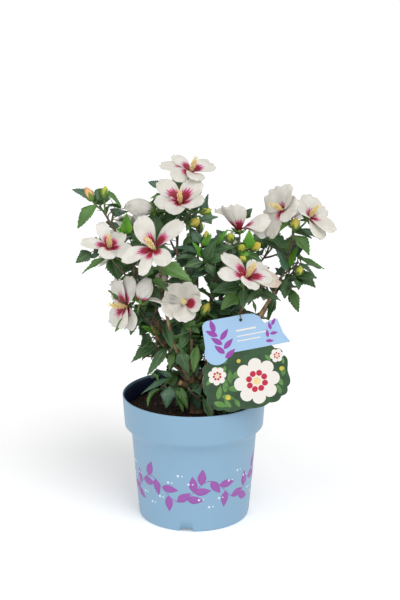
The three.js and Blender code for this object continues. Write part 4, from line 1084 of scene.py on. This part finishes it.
label = {
    "hole": [59, -78, 292], "yaw": 12, "roll": 7, "lean": 6, "thickness": 0.8, "holeRadius": 2.1,
    "header": {"left": -50, "right": 60, "low": -39.6, "top": 6.4, "shoulder": 18, "round": 8},
    "lobe": {"centre": (-36, -36), "radius": 16},
    "picture": {"centre": (-3, -76), "halfWidth": 57, "halfHeight": 41, "squareness": 0.66, "scallops": 15,
                "scallop": 2.6},
    "rosettes": [((10, -82), 30, 8), ((-40, -66), 12, 7), ((40, -54), 9, 6)],  # centre, radius, lobes
    "berries": [((-30, -96), 3.4), ((44, -72), 3), ((-10, -52), 2.6)],  # centre, radius
    "sprigs": [  # foot, turn, length, leaves
        ((-52, -100), 18, 44, 7), ((-14, -112), 160, 34, 6), ((34, -112), 50, 34, 6),
        ((-22, -50), 205, 26, 5), ((22, -50), -8, 28, 5), ((-56, -78), 78, 26, 4), ((44, -84), 60, 20, 4)],
    "headerSprigs": [((-27, -48), 80, 42, 7), ((26, -34), 36, 26, 5)],
    "bars": [((-8, -14), 26, 2.2), ((-8, -21), 40, 1.4), ((-8, -27), 30, 1.4)],  # left end, length, height
}
tie = {"wire": 0.6, "at": 0.93, "steps": 9}
cardTurn = np.array(Matrix.Rotation(math.radians(label["yaw"]), 3, "Z")
                    @ Matrix.Rotation(math.radians(90 - label["lean"]), 3, "X")
                    @ Matrix.Rotation(math.radians(label["roll"]), 3, "Z"))


def onCard(points):  # places (right, up, forward) on the card as places on the plant
    return np.asarray(points, float) @ cardTurn.T + spot(*label["hole"])


stemSize = {"foot": 1.9, "end": 1.2, "stalk": 24, "stalkFoot": 1.35, "stalkEnd": 1.15, "firstFork": 0.3}
twigSize = {"foot": 1.5, "end": 1.1, "shortest": 20, "longest": 38}
shoots = {"spacing": 11, "shortest": 8, "longest": 20, "leaf": 44, "leafSpacing": 5, "foot": 1.2, "end": 0.8}
leafSize = {
    "rows": 17, "columns": 5, "width": 0.84, "stalk": 0.2, "thickness": 0.4, "spacing": 9, "tooth": 0.075,
    "rib": 0.36, "gap": 2.4, "hang": 0.6, "stalkLeaf": 0.62, "stalkSpacing": 14, "woodyFrom": 20,
}
leafForm = {  # half widths by share of the length, for a plain leaf and for one with three lobes
    "share": [0, 0.1, 0.25, 0.4, 0.48, 0.6, 0.78, 0.9, 1],
    "oval": [0.06, 0.5, 0.9, 1.0, 0.97, 0.84, 0.52, 0.25, 0.02],
    "lobed": [0.06, 0.42, 0.84, 1.14, 0.78, 0.6, 0.42, 0.22, 0.02],
    "forward": [0, 0, 0.03, 0.1, 0.02, 0.01, 0.02, 0.01, 0],
}
leafForms = ("oval", "lobed", "forward")
# One of these tints, the blue-green one, is painted shade.
leafGrids = {"dark": [], "blue": [], "mid": [], "young": []}
marks = []  # the leaves with a place of their own, as seen from the front
petioles, ribs, twigParts = [], [], []


# Points of a leaf's blade: rows from its stalk to its tip, columns from its left edge to its right.
def leafGrid(leaf):
    t = np.linspace(0, 1, leafSize["rows"])[:, None]
    c = np.linspace(-1, 1, leafSize["columns"])[None]
    lobing = leaf["lobing"]
    oval, lobed, forward = (np.interp(t, leafForm["share"], leafForm[form]) for form in leafForms)
    notch = leafSize["tooth"] * (np.arange(leafSize["rows"]) % 2 * 2 - 1)[:, None] * (t > 0.2) * (t < 0.97)
    half = (oval * (1 - lobing) + lobed * lobing) * (1 + notch) * leaf["length"] * leaf["width"] / 2
    share = t + (forward * lobing + np.maximum(notch, 0) * 0.35) * c ** 2
    bend = leaf["droop"] + 1e-3
    reach = leaf["length"] * np.sin(bend * share) / bend
    sink = leaf["length"] * (1 - np.cos(bend * share)) / bend
    ripple = leaf["wave"] * np.sin(7 * t + leaf["phase"] + 2.2 * np.sign(c)) * c ** 2
    cushion = 0.5 * np.cos(t * 30) * np.abs(c) * (1 - np.abs(c)) * 4 * (1 - t)  # swells between its veins
    rise = np.abs(half * c) * math.sin(leaf["fold"]) - sink + ripple + cushion
    offset, twist = half * c * math.cos(leaf["fold"]), leaf["twist"] * t
    sideways = offset * np.cos(twist) - rise * np.sin(twist) * 0.3
    upward = rise + offset * np.sin(twist)
    return (leaf["root"] + leaf["along"] * reach[..., None] + leaf["right"] * sideways[..., None]
            + leaf["face"] * upward[..., None])


crown = {  # seen from the front, on the plane of the pot's axis: the reach of the leaves, and where sky shows
    "edge": [
        (-160, 445), (-110, 445), (-90, 425), (-80, 430), (-65, 435), (-60, 455), (-35, 465), (-10, 465),
        (10, 440), (25, 440), (25, 410), (60, 420), (80, 420), (90, 400), (115, 400), (140, 400),
        (170, 375), (160, 355), (175, 340), (175, 325), (165, 310), (140, 315), (145, 275), (120, 265),
        (90, 260), (90, 165), (40, 115), (15, 115), (0, 135), (-45, 135), (-75, 155), (-75, 190),
        (-90, 205), (-85, 240), (-70, 245), (-80, 255), (-85, 240), (-110, 250), (-105, 270), (-120, 295),
        (-115, 315), (-100, 320), (-120, 335), (-150, 325), (-160, 340), (-155, 365), (-130, 375),
        (-115, 400), (-125, 410), (-145, 385), (-160, 420)],
    "sky": [
        ((-123, 405), 8), ((-136, 384), 8), ((-84, 442), 12), ((-14, 391), 6), ((-17, 372), 5),
        ((17, 391), 8), ((27, 388), 5), ((96, 352), 10), ((161, 364), 8), ((115, 287), 10), ((83, 287), 9),
        ((13, 300), 4), ((8, 317), 4), ((-35, 279), 9), ((-45, 311), 4), ((-44, 210), 8), ((-20, 202), 4),
        ((-125, 315), 9), ((29, 325), 4), ((115, 381), 4)],
    "eye": (8, -1890, 834), "low": 152, "front": -126, "back": 142, "potClear": 99, "rimClear": 90,
    "rimHigh": 171, "bloomClear": 24, "bloomBack": 40, "bloomAhead": 56, "bloomCone": 0.85,
    "card": (-64, 64, -120, 9),  # left, right, low and high, round the hole
}


def putBlade(leaf, tint, sure=False):  # a sure one grows whatever stands in its way
    grid = leafGrid(leaf)
    probe = np.concatenate([grid[2::3, 2], grid[3:14:3, 0], grid[3:14:3, -1], grid[-1:, 2]])
    if not sure and (crowded(probe[1:], leafSize["gap"]) or hidesBloom(probe) or hidesMark(probe)
                     or not inCrown(probe)):
        return False
    edges = [grid[2:15:2, 0], grid[2:15:2, -1]]
    occupy(np.concatenate([grid[1::2, 2], *edges, grid[3:14:3, 1], grid[3:14:3, 3]]))
    leafGrids[tint].append(grid)
    middleRow = grid[::4, leafSize["columns"] // 2] + leaf["face"] * 0.05
    ribs.append(tubePart(middleRow, np.linspace(1.5, 0.5, len(middleRow)) * leafSize["rib"], 4))
    return True


def leafHabit(draw):
    return {"droop": 0.2 + 0.9 * draw(), "fold": 0.1 + 0.45 * draw(), "wave": 0.5 + 1.3 * draw(),
            "phase": draw() * 6, "twist": (draw() - 0.5) * 0.8, "lobing": 0.1 + 0.8 * draw()}


def setLeaf(root, along, facing, length, tint, draw):
    face = across(facing, along)
    width = leafSize["width"] * (0.85 + 0.3 * draw())
    leaf = {**leafHabit(draw), "root": root + along * length * leafSize["stalk"], "along": along,
            "face": face, "right": np.cross(along, face), "length": length * (1 - leafSize["stalk"]),
            "width": width}
    if not putBlade(leaf, tint):
        return False
    middle = (root + leaf["root"]) / 2 + face * length * 0.012
    end = leaf["root"] + along * 0.8 - face * 0.2
    petioles.append(tubePart([root - along, middle, end], [0.8, 0.55, 0.6], 5))
    return True


def placeLeaf(stems, base, tip, width, tint, draw):  # a leaf whose blade runs from base to tip
    base, tip = spot(*base), spot(*tip)
    habit = leafHabit(draw)
    chord, half = unit(tip - base), habit["droop"] / 2
    face = across(up * 0.7 + unit(spot(*crown["eye"]) - base) * 0.8 + around(chord, draw() * 6) * 0.3, chord)
    along = chord * math.cos(half) + face * math.sin(half)
    face = face * math.cos(half) - chord * math.sin(half)
    length = np.linalg.norm(tip - base) * half / math.sin(half)
    putBlade({**habit, "root": base, "along": along, "face": face, "right": np.cross(along, face),
              "length": length, "width": width / length * 1.1}, tint, sure=True)
    marks.append((*seenOnPlane(np.array([base, tip]))[:, (0, 2)], width, min(base[1], tip[1])))
    line, share = min(((stem, t) for stem in stems for t in np.linspace(0.05, 1, 40)),
                      key=lambda pick: np.linalg.norm(pick[0].point(pick[1]) - base + up * 4))
    start = line.point(share)
    carrier = leavingLine(start, unit(line.along(share) + up * 0.3), base + along * 0.8)
    woody = np.linalg.norm(base - start) > leafSize["woodyFrom"]
    (twigParts if woody else petioles).append(limbTube(carrier, 1.0 if woody else 0.75, 0.55, 7, 6))
    takeLine(carrier, 0.3)


def seenOnPlane(points):  # where sight lines from the front cross the plane of the pot's axis
    eye = spot(*crown["eye"])
    return eye + (points - eye) * (-eye[1] / (points[:, 1] - eye[1]))[:, None]


def hidesBloom(points):  # whether a place stands before a bloom's face, or before the bloom from the front
    for bloom in blooms:
        heart, axis = bloomPlace(bloom)
        away = points - heart
        distance = np.linalg.norm(away, axis=1)
        if np.any((distance < crown["bloomAhead"]) & (away @ axis > distance * crown["bloomCone"])):
            return True
        sight = unit(spot(*crown["eye"]) - heart)
        ahead = away @ sight
        aside = np.linalg.norm(away - ahead[:, None] * sight, axis=1)
        clear = crown["bloomClear"] * bloom["size"]
        if heart[1] <= crown["bloomBack"] and np.any((ahead > 0) & (aside < clear)):
            return True
    return False


def hidesMark(points):  # whether a place stands in front of the label or of a leaf with a place of its own
    seen = seenOnPlane(points)[:, (0, 2)]
    for base, tip, width, depth in marks:
        share = np.clip((seen - base) @ (tip - base) / ((tip - base) @ (tip - base)), 0, 1)
        beside = np.linalg.norm(seen - base - share[:, None] * (tip - base), axis=1)
        if np.any((beside < width * 0.42) & (points[:, 1] < depth - 2)):
            return True
    card, eye = ((place - spot(*label["hole"])) @ cardTurn for place in (points, spot(*crown["eye"])))
    card = card[card[:, 2] > -3]
    hit = card + (card - eye) * (card[:, 2] / (eye[2] - card[:, 2]))[:, None]
    left, right, low, high = crown["card"]
    return bool(np.any((hit[:, 0] > left) & (hit[:, 0] < right) & (hit[:, 1] > low) & (hit[:, 1] < high)))


def inCrown(points):
    seen = seenOnPlane(points)[:, (0, 2)]
    for place, radius in crown["sky"]:
        if np.any(np.hypot(*(seen - place).T) < radius):
            return False
    edge = np.array(crown["edge"], float)
    after = np.roll(edge, -1, axis=0)
    for x, z in seen:
        spans = (edge[:, 1] > z) != (after[:, 1] > z)
        side = (after - edge)[spans]
        crossings = edge[spans, 0] + (z - edge[spans, 1]) * side[:, 0] / side[:, 1]
        if np.sum(crossings > x) % 2 == 0:
            return False
    x, y, z = points.T
    radius = np.hypot(x, y)
    overPeat = (z > crown["low"]) & ((radius < crown["rimClear"]) | (z > crown["rimHigh"]))
    offPot = (radius > crown["potClear"]) | overPeat
    return bool(np.all(offPot & (y > crown["front"]) & (y < crown["back"])))


# Deals tints at random. One of them is the blue-green tint, which is painted shade.
def leafTint(name, share, draw):
    roll = draw()
    if share > 0.8 and roll < 0.14 and name in sprays and not name.startswith("basal"):
        return "young"
    if roll < 0.4:
        return "dark"
    return "blue" if roll < 0.68 else "mid"


def leaveLine(name, line, start, leafLength, draw, turn, spacing):  # leaves in a spiral along a line
    count = max(1, round(line.length * (1 - start) / spacing))
    for i in range(count + 1):
        share = start + (1 - start) * i / count
        angle = turn + i * goldenTurn + draw() * 0.5
        tilt = 0.9 if i == count else 0.35 + 0.35 * draw()
        for shift in (0, 1.2, -1.2, 2.4, -2.4):  # tries for a free side
            stem = line.along(share)
            sag = 0.12 + leafSize["hang"] * draw()
            along = unit(stem * tilt + around(stem, angle + shift) * 0.9 - up * sag)
            facing = unit(up + around(along, draw() * math.tau) * 0.45)
            length = leafLength * (0.62 + 0.5 * draw()) * (1 - 0.2 * share)
            tint = leafTint(name, share, draw)
            if setLeaf(line.point(min(share, 0.985)), along, facing, length, tint, draw):
                break


def limbTube(line, foot, end, steps, sides=8):
    shares = np.linspace(0, 1, steps)
    return tubePart([line.point(t) for t in shares], foot + (end - foot) * shares, sides)


def forkShare(line, place):  # where a stalk of about its usual length leaves the line
    usual, shares = stemSize["stalk"], np.arange(21) / 20
    return min(shares, key=lambda t: abs(np.linalg.norm(line.point(t) - place) - usual))


frames = {}  # of each spray, its stem, and the stalks that leave it for blooms and buds


def budAxis(line, place):
    return unit(unit(place - line.point(forkShare(line, place))) + up * 0.6)


def growStems():
    for name, spray in sprays.items():
        if spray["on"] == "trunk":
            line, foot = boughLine(lines["trunk"].point(spray["at"]), spray["tip"], 3), stemSize["foot"]
        else:
            bough, foot = lines[spray["on"]], boughs[spray["on"]]["end"] * 0.97
            line = leavingLine(bough.point(1) - bough.along(1), bough.along(1), spot(*spray["tip"]))
        twigParts.append(limbTube(line, foot, stemSize["end"], 16, 10))
        takeLine(line, 0.05)
        ends = []
        for bloom in spray["blooms"]:
            heart, axis = bloomPlace(bloom)
            ends.append((heart - axis * calyxSize["stalkEnd"] * bloom["size"], axis))
        for place in spray["buds"]:
            axis = budAxis(line, spot(*place))
            ends.append((spot(*place) - axis * 4.5, axis))
        stalks = []
        for place, axis in ends:
            share = max(forkShare(line, place), stemSize["firstFork"])
            stalk = arrivingLine(line.point(share), place, axis)
            petioles.append(limbTube(stalk, stemSize["stalkFoot"], stemSize["stalkEnd"], 9))
            takeLine(stalk, 0.3)
            stalks.append((share, stalk))
        frames[name] = (line, stalks)


# Short leafy shoots stand round each bough, where the leaves of the sprays leave it bare.
def growShoots():
    for number, name in enumerate(["trunk", *boughs]):
        line, draw = lines[name], seeded(700 + number * 13)
        count = int(line.length / shoots["spacing"])
        for i in range(count):
            share = 0.1 + 0.86 * (i + 0.5) / count
            out = around(line.along(share), number + i * goldenTurn)
            reach = shoots["shortest"] + (shoots["longest"] - shoots["shortest"]) * draw()
            start = line.point(share)
            tip = start + unit(out + up * 0.45) * reach
            shoot = leavingLine(start, unit(out + line.along(share) * 0.6), tip)
            if hidesBloom(tip[None]) or hidesMark(tip[None]) or not inCrown(tip[None]):
                continue
            before = len(ribs)
            leaveLine(name, shoot, 0.55, shoots["leaf"], draw, number + i * 2, shoots["leafSpacing"])
            if len(ribs) > before:
                twigParts.append(limbTube(shoot, shoots["foot"], shoots["end"], 6, 6))


def growLeaves():
    cutEnd = lines["pruned_stub"].point(1)
    marks.append((*seenOnPlane(np.array([cutEnd, cutEnd + up]))[:, (0, 2)], 16, cutEnd[1]))
    for name, spray in sprays.items():  # the leaves with a place of their own come first
        line, stalks = frames[name]
        draw = seeded(spray["seed"] + 1)
        stems = [line, *(stalk for _, stalk in stalks), lines[spray["on"]]]
        for base, tip, width, tint in spray.get("leaves", ()):
            placeLeaf(stems, base, tip, width, tint, draw)
    for name, spray in sprays.items():
        line, stalks = frames[name]
        draw = seeded(spray["seed"])
        twigs = []
        for i in range(spray["twigs"]):
            share = spray["bare"] + (0.95 - spray["bare"]) * (i + 0.5) / spray["twigs"]
            stem = line.along(share)
            outward = around(stem, spray["seed"] + i * goldenTurn + draw() * 0.6)
            length = twigSize["shortest"] + (twigSize["longest"] - twigSize["shortest"]) * draw()
            start = line.point(share)
            tip = start + unit(stem * 0.7 + outward + up * 0.25) * length
            twig = leavingLine(start, unit(stem + outward * 1.6), tip)
            if hidesBloom(tip[None]) or not inCrown(tip[None]):
                continue
            twigParts.append(limbTube(twig, twigSize["foot"], twigSize["end"], 8, 7))
            takeLine(twig, 0.2)
            twigs.append(twig)
        leaveLine(name, line, spray["bare"], spray["leaf"], draw, spray["seed"], leafSize["spacing"])
        for i, twig in enumerate(twigs):
            leaveLine(name, twig, 0.3, spray["leaf"], draw, i * 2 + spray["seed"], leafSize["spacing"])
        for share, stalk in stalks:
            small = spray["leaf"] * leafSize["stalkLeaf"]
            leaveLine(name, stalk, 0.1, small, draw, share * 20, leafSize["stalkSpacing"])


growStems()
growLeaves()
growShoots()
print("leaves", {tint: len(grids) for tint, grids in leafGrids.items()})

budSize = {
    "length": 17, "radius": 5.6, "ripe": 1.05, "green": 0.85, "ripeSepal": 13, "greenSepal": 15,
    "sepalWidth": 9, "sepalAngles": (44, -18), "sepalsBelow": 8.2,
}
ripeBuds = {(-134, 0, 436): "budPeach", (78, -28, 374): "budYellow", (130, -12, 400): "budYellow",
            (1, -20, 404): "budOlive", (15, -60, 300): "budOlive"}


def budPart(place, axis, grown):  # petals still rolled, with five shallow folds that wind round
    length, radius = budSize["length"] * grown, budSize["radius"] * grown
    body = []
    for s in np.linspace(0.02, 1, 12):
        girth = radius * math.sin(math.pi * min(s ** 0.8, 0.985)) ** 0.6
        centre = place + axis * (s - 0.42) * length
        body.append([centre + around(axis, a) * girth * (1 + 0.07 * math.cos(5 * (a - 1.3 * s)) * s)
                     for a in turns(20)])
    occupy(np.array(body)[::4, ::5].reshape(-1, 3))
    return closeRings(np.array(body), place - axis * 0.42 * length, place + axis * 0.59 * length)


def makeBuds():
    parts = {"budPeach": [], "budYellow": [], "budOlive": [], "budGreen": []}
    sepals = []
    for name, spray in sprays.items():
        for place in spray["buds"]:
            finish = ripeBuds.get(tuple(place), "budGreen")
            age = "green" if finish == "budGreen" else "ripe"
            grown = budSize[age]
            place = spot(*place)
            axis = budAxis(frames[name][0], place)
            parts[finish].append(budPart(place, axis, grown))
            under = {"heart": place - axis * budSize["sepalsBelow"] * grown, "size": 0.9,
                     "turn": math.degrees(math.atan2(axis[1], axis[0])),
                     "lift": math.degrees(math.asin(axis[2]))}
            length, width = budSize[age + "Sepal"] * grown, budSize["sepalWidth"] * grown
            sepals += [sepalPart(under, length, width, turn, budSize["sepalAngles"], 0) for turn in turns(5)]
    for finish, shapes in parts.items():
        growPiece("greenBuds" if finish == "budGreen" else finish + "s", shapes, finish)
    growPiece("budSepals", sepals, "calyx")


makeBuds()
# One of these pieces carries the blue-green tint, which is painted shade.
for tint, grids in leafGrids.items():
    blades = bladeParts(np.array(grids), leafSize["thickness"])
    growPiece("leaves" + tint.title(), [blades], "leaf" + tint.title())
growPiece("twigs", twigParts, "twig")
growPiece("leafStalks", petioles, "greenStalk")
growPiece("leafRibs", ribs, "leafRib")


def prism(outline, low, high):  # a flat motif, its outline given anticlockwise round its middle
    outline = np.array(outline, float)
    middle = outline.mean(axis=0)
    body = np.array([np.column_stack([outline, np.full(len(outline), w)]) for w in (low, high)])
    points, blocks = closeRings(body, spot(*middle, low), spot(*middle, high))
    return onCard(points), blocks


def ringOutline(centre, reach, steps, first=0):  # reach gives the radius at each angle
    angles = (np.arange(steps) + first) * math.tau / steps
    return [(centre[0] + reach(a) * math.cos(a), centre[1] + reach(a) * math.sin(a)) for a in angles]


def disc(centre, radius, steps=24):
    return ringOutline(centre, lambda a: radius, steps)


def rosetteOutline(centre, radius, lobes):
    def reach(a):
        return radius * (0.76 + 0.24 * abs(math.cos(a * lobes / 2)) ** 0.6)
    return ringOutline(centre, reach, lobes * 12)


def leafOutline(foot, turn, length, width, steps=9):
    shares = np.linspace(0, 1, steps)
    half = width / 2 * np.sin(math.pi * shares ** 0.8)
    right = [(x, -y) for x, y in zip(shares * length, half)]
    left = [(x, y) for x, y in zip(shares * length, half)][-2:0:-1]
    c, k = math.cos(math.radians(turn)), math.sin(math.radians(turn))
    return [(foot[0] + x * c - y * k, foot[1] + x * k + y * c) for x, y in right + left]


def sprigOutlines(foot, turn, length, leaves):
    outlines = []
    for i in range(leaves):
        share = (i + 0.5) / leaves
        bend = turn + 24 * share
        place = (foot[0] + math.cos(math.radians(bend)) * length * share,
                 foot[1] + math.sin(math.radians(bend)) * length * share)
        side = 0 if i == leaves - 1 else 48 if i % 2 else -48
        outlines.append(leafOutline(place, bend + side, length * 0.42, length * 0.17))
    return outlines


def headerOutline():
    h = label["header"]
    corner = h["right"] - h["round"]
    points = [(h["right"], h["low"]), (corner, h["low"] + 14)]
    points += [(place + right, h["top"] - down) for place, right, down in (
        (corner, -5, 13.4), (corner, -14, 14), (h["shoulder"], 12, 16), (h["shoulder"], 6, 6),
        (h["shoulder"], -1, 1.4), (h["shoulder"], -10, 0))]
    for height, start in ((h["top"] - h["round"], 90), (h["low"] + h["round"], 180)):
        points += arcPoints((h["left"] + h["round"], height), h["round"], start, start + 90, 7)
    return points


def scallopOutline():
    p = label["picture"]
    points = []
    for a in turns(p["scallops"] * 8):
        wave = p["scallop"] * (abs(math.sin(a * p["scallops"] / 2)) - 1)
        x, y = (math.copysign(abs(v) ** p["squareness"], v) for v in (math.cos(a), math.sin(a)))
        points.append((p["centre"][0] + (p["halfWidth"] + wave) * x,
                       p["centre"][1] + (p["halfHeight"] + wave) * y))
    return points


def onPicture(x, y):  # whether a place is on the picture, inside its scallops
    p = label["picture"]
    sideways = abs(x - p["centre"][0]) / (p["halfWidth"] - 3.5)
    upward = abs(y - p["centre"][1]) / (p["halfHeight"] - 3.5)
    return sideways ** (2 / p["squareness"]) + upward ** (2 / p["squareness"]) < 1


def cutCard(name, outlines, low, high, material):  # the second outline is a hole in the first
    curve = bpy.data.curves.new(name, "CURVE")
    curve.dimensions, curve.fill_mode, curve.extrude = "2D", "BOTH", (high - low) / 2 * metre
    for outline in outlines:
        spline = curve.splines.new("POLY")
        spline.points.add(len(outline) - 1)
        for point, (x, y) in zip(spline.points, outline):
            point.co = (x * metre, y * metre, 0, 1)
        spline.use_cyclic_u = True
    carrier = linked(name, curve)
    mesh = plainMesh(carrier)
    drop(carrier)
    shape = bmesh.new()
    shape.from_mesh(mesh)
    bmesh.ops.remove_doubles(shape, verts=shape.verts, dist=1e-6)
    for corner in shape.verts:
        place = np.array(corner.co) / metre + spot(0, 0, (low + high) / 2)
        corner.co = Vector(onCard(place[None])[0] * metre)
    bmesh.ops.recalc_face_normals(shape, faces=shape.faces)
    shape.to_mesh(mesh)
    shape.free()
    mesh.name = name
    mesh.materials.append(material)
    return linked(name, mesh)


def cardPiece(name, parts, finish):
    settle(makeObject(name, parts, finishes[finish], smooth=False))


def makeLabel():
    thick = label["thickness"]
    outlines = [headerOutline(), disc((0, 0), label["holeRadius"])]
    header = cutCard("labelHeader", outlines, 0, thick, finishes["cardBlue"])
    settle(header, ["plant_label"])
    lobe = disc(label["lobe"]["centre"], label["lobe"]["radius"], 48)
    cardPiece("labelLobe", [prism(lobe, -0.2, thick * 0.8)], "cardBlue")
    cardPiece("labelCard", [prism(scallopOutline(), -thick, -0.15)], "cardWhite")
    cardPiece("labelGround", [prism(scallopOutline(), -0.15, 0)], "cardGreen")
    leaves = [outline for sprig in label["sprigs"] for outline in sprigOutlines(*sprig)
              if all(onPicture(x, y) for x, y in outline)]
    cardPiece("labelLeaves", [prism(leaf, 0, 0.12) for leaf in leaves], "cardLeaf")
    white, red, cream = [], [], []
    for centre, radius, lobes in label["rosettes"]:
        white.append(prism(rosetteOutline(centre, radius, lobes), 0.05, 0.3))
        for dot in ringOutline(centre, lambda a: radius * 0.36, lobes, 0.5):
            red.append(prism(disc(dot, radius * 0.13, 16), 0.3, 0.42))
        cream.append(prism(disc(centre, radius * 0.17), 0.3, 0.45))
    berries = [prism(disc(centre, radius), 0.1, 0.3) for centre, radius in label["berries"]]
    cardPiece("labelBerries", berries, "budYellow")
    cardPiece("labelRosettes", white, "cardWhite")
    cardPiece("labelDots", red, "cardRed")
    cardPiece("labelMiddles", cream, "cream")
    sprigs = [outline for sprig in label["headerSprigs"] for outline in sprigOutlines(*sprig)]
    cardPiece("labelPrint", [prism(leaf, thick, thick + 0.1) for leaf in sprigs], "cardPurple")
    bars = [[(x, y), (x + long, y), (x + long, y + high), (x, y + high)]
            for (x, y), long, high in label["bars"]]
    cardPiece("labelBars", [prism(bar, thick, thick + 0.08) for bar in bars], "cardWhite")


def smoothLine(stops, steps):  # a curve through all the stops
    stops = np.array(stops)
    ends = np.vstack([2 * stops[0] - stops[1], stops, 2 * stops[-1] - stops[-2]])
    points = []
    for a, b, c, d in zip(ends, ends[1:], ends[2:], ends[3:]):
        for t in np.arange(steps) / steps:
            bend = (2 * a - 5 * b + 4 * c - d) * t ** 2 + (3 * b - a - 3 * c + d) * t ** 3
            points.append((2 * b + (c - a) * t + bend) / 2)
    return np.array(points + [stops[-1]])


def makeTie():
    bough = lines["bough_front_right"].point(tie["at"])
    reach = boughs["bough_front_right"]["end"] + tie["wire"] + 0.7
    hang = label["holeRadius"] - tie["wire"] - 0.4
    top = label["header"]["top"]
    stops = [onCard((0, hang - 1.5, 4)), onCard((0, hang, 0)), onCard((1, hang + 2, -6)),
             bough + spot(reach + 1.5, -2, 0), bough + spot(0.5, reach, 1), bough + spot(-reach - 2, -2, 2),
             onCard((-3, top + 4, -3)), onCard((-1, top + 1, 3.5)), onCard((0, hang + 2.2, 4.4))]
    path = smoothLine(stops, tie["steps"])
    settle(makeObject("labelTie", [tubePart(path, np.full(len(path), tie["wire"]), 10)], finishes["tieWire"]),
           ["label_tie"])


makeLabel()
makeTie()

camera = {"place": (0.008, -1.890, 0.834), "pitch": 15.9, "lens": 90.3, "film": 36, "farthest": 60}
lights = {
    "key": {"turn": (40, 0, 30), "strength": 1.55, "softness": 40},
    "fill": {"turn": (62, 0, -42), "strength": 0.75, "softness": 70},
}
studio = {"floor": 40000, "sky": 0.5, "glow": 0.16}  # the floor's half width, then two strengths of light


def makeStudio():
    lens = bpy.data.cameras.new("camera")
    lens.lens, lens.sensor_width, lens.clip_end = camera["lens"], camera["film"], camera["farthest"]
    view = linked("camera", lens)
    view.location = camera["place"]
    view.rotation_euler = (math.radians(90 - camera["pitch"]), 0, 0)
    bpy.context.scene.camera = view
    for name, light in lights.items():
        lamp = bpy.data.lights.new(name, "SUN")
        lamp.energy, lamp.angle = light["strength"], math.radians(light["softness"])
        linked(name, lamp).rotation_euler = [math.radians(a) for a in light["turn"]]
    world = bpy.data.worlds.new("studio")
    world.use_nodes = True
    sky = world.node_tree.nodes["Background"].inputs
    sky["Color"].default_value = (1, 1, 1, 1)
    sky["Strength"].default_value = studio["sky"]
    bpy.context.scene.world = world
    bpy.context.scene.view_settings.view_transform = "Standard"
    glow = {"Emission Color": (1, 1, 1, 1), "Emission Strength": studio["glow"]}
    corners = spot(-1, -1, 0), spot(1, -1, 0), spot(1, 1, 0), spot(-1, 1, 0)
    plane = (np.array(corners) * studio["floor"], [np.array([[0, 1, 2, 3]])])
    makeObject("floor", [plane], makeMaterial("floorPale", "#fafafa", 0.9, sockets=glow))


makeStudio()
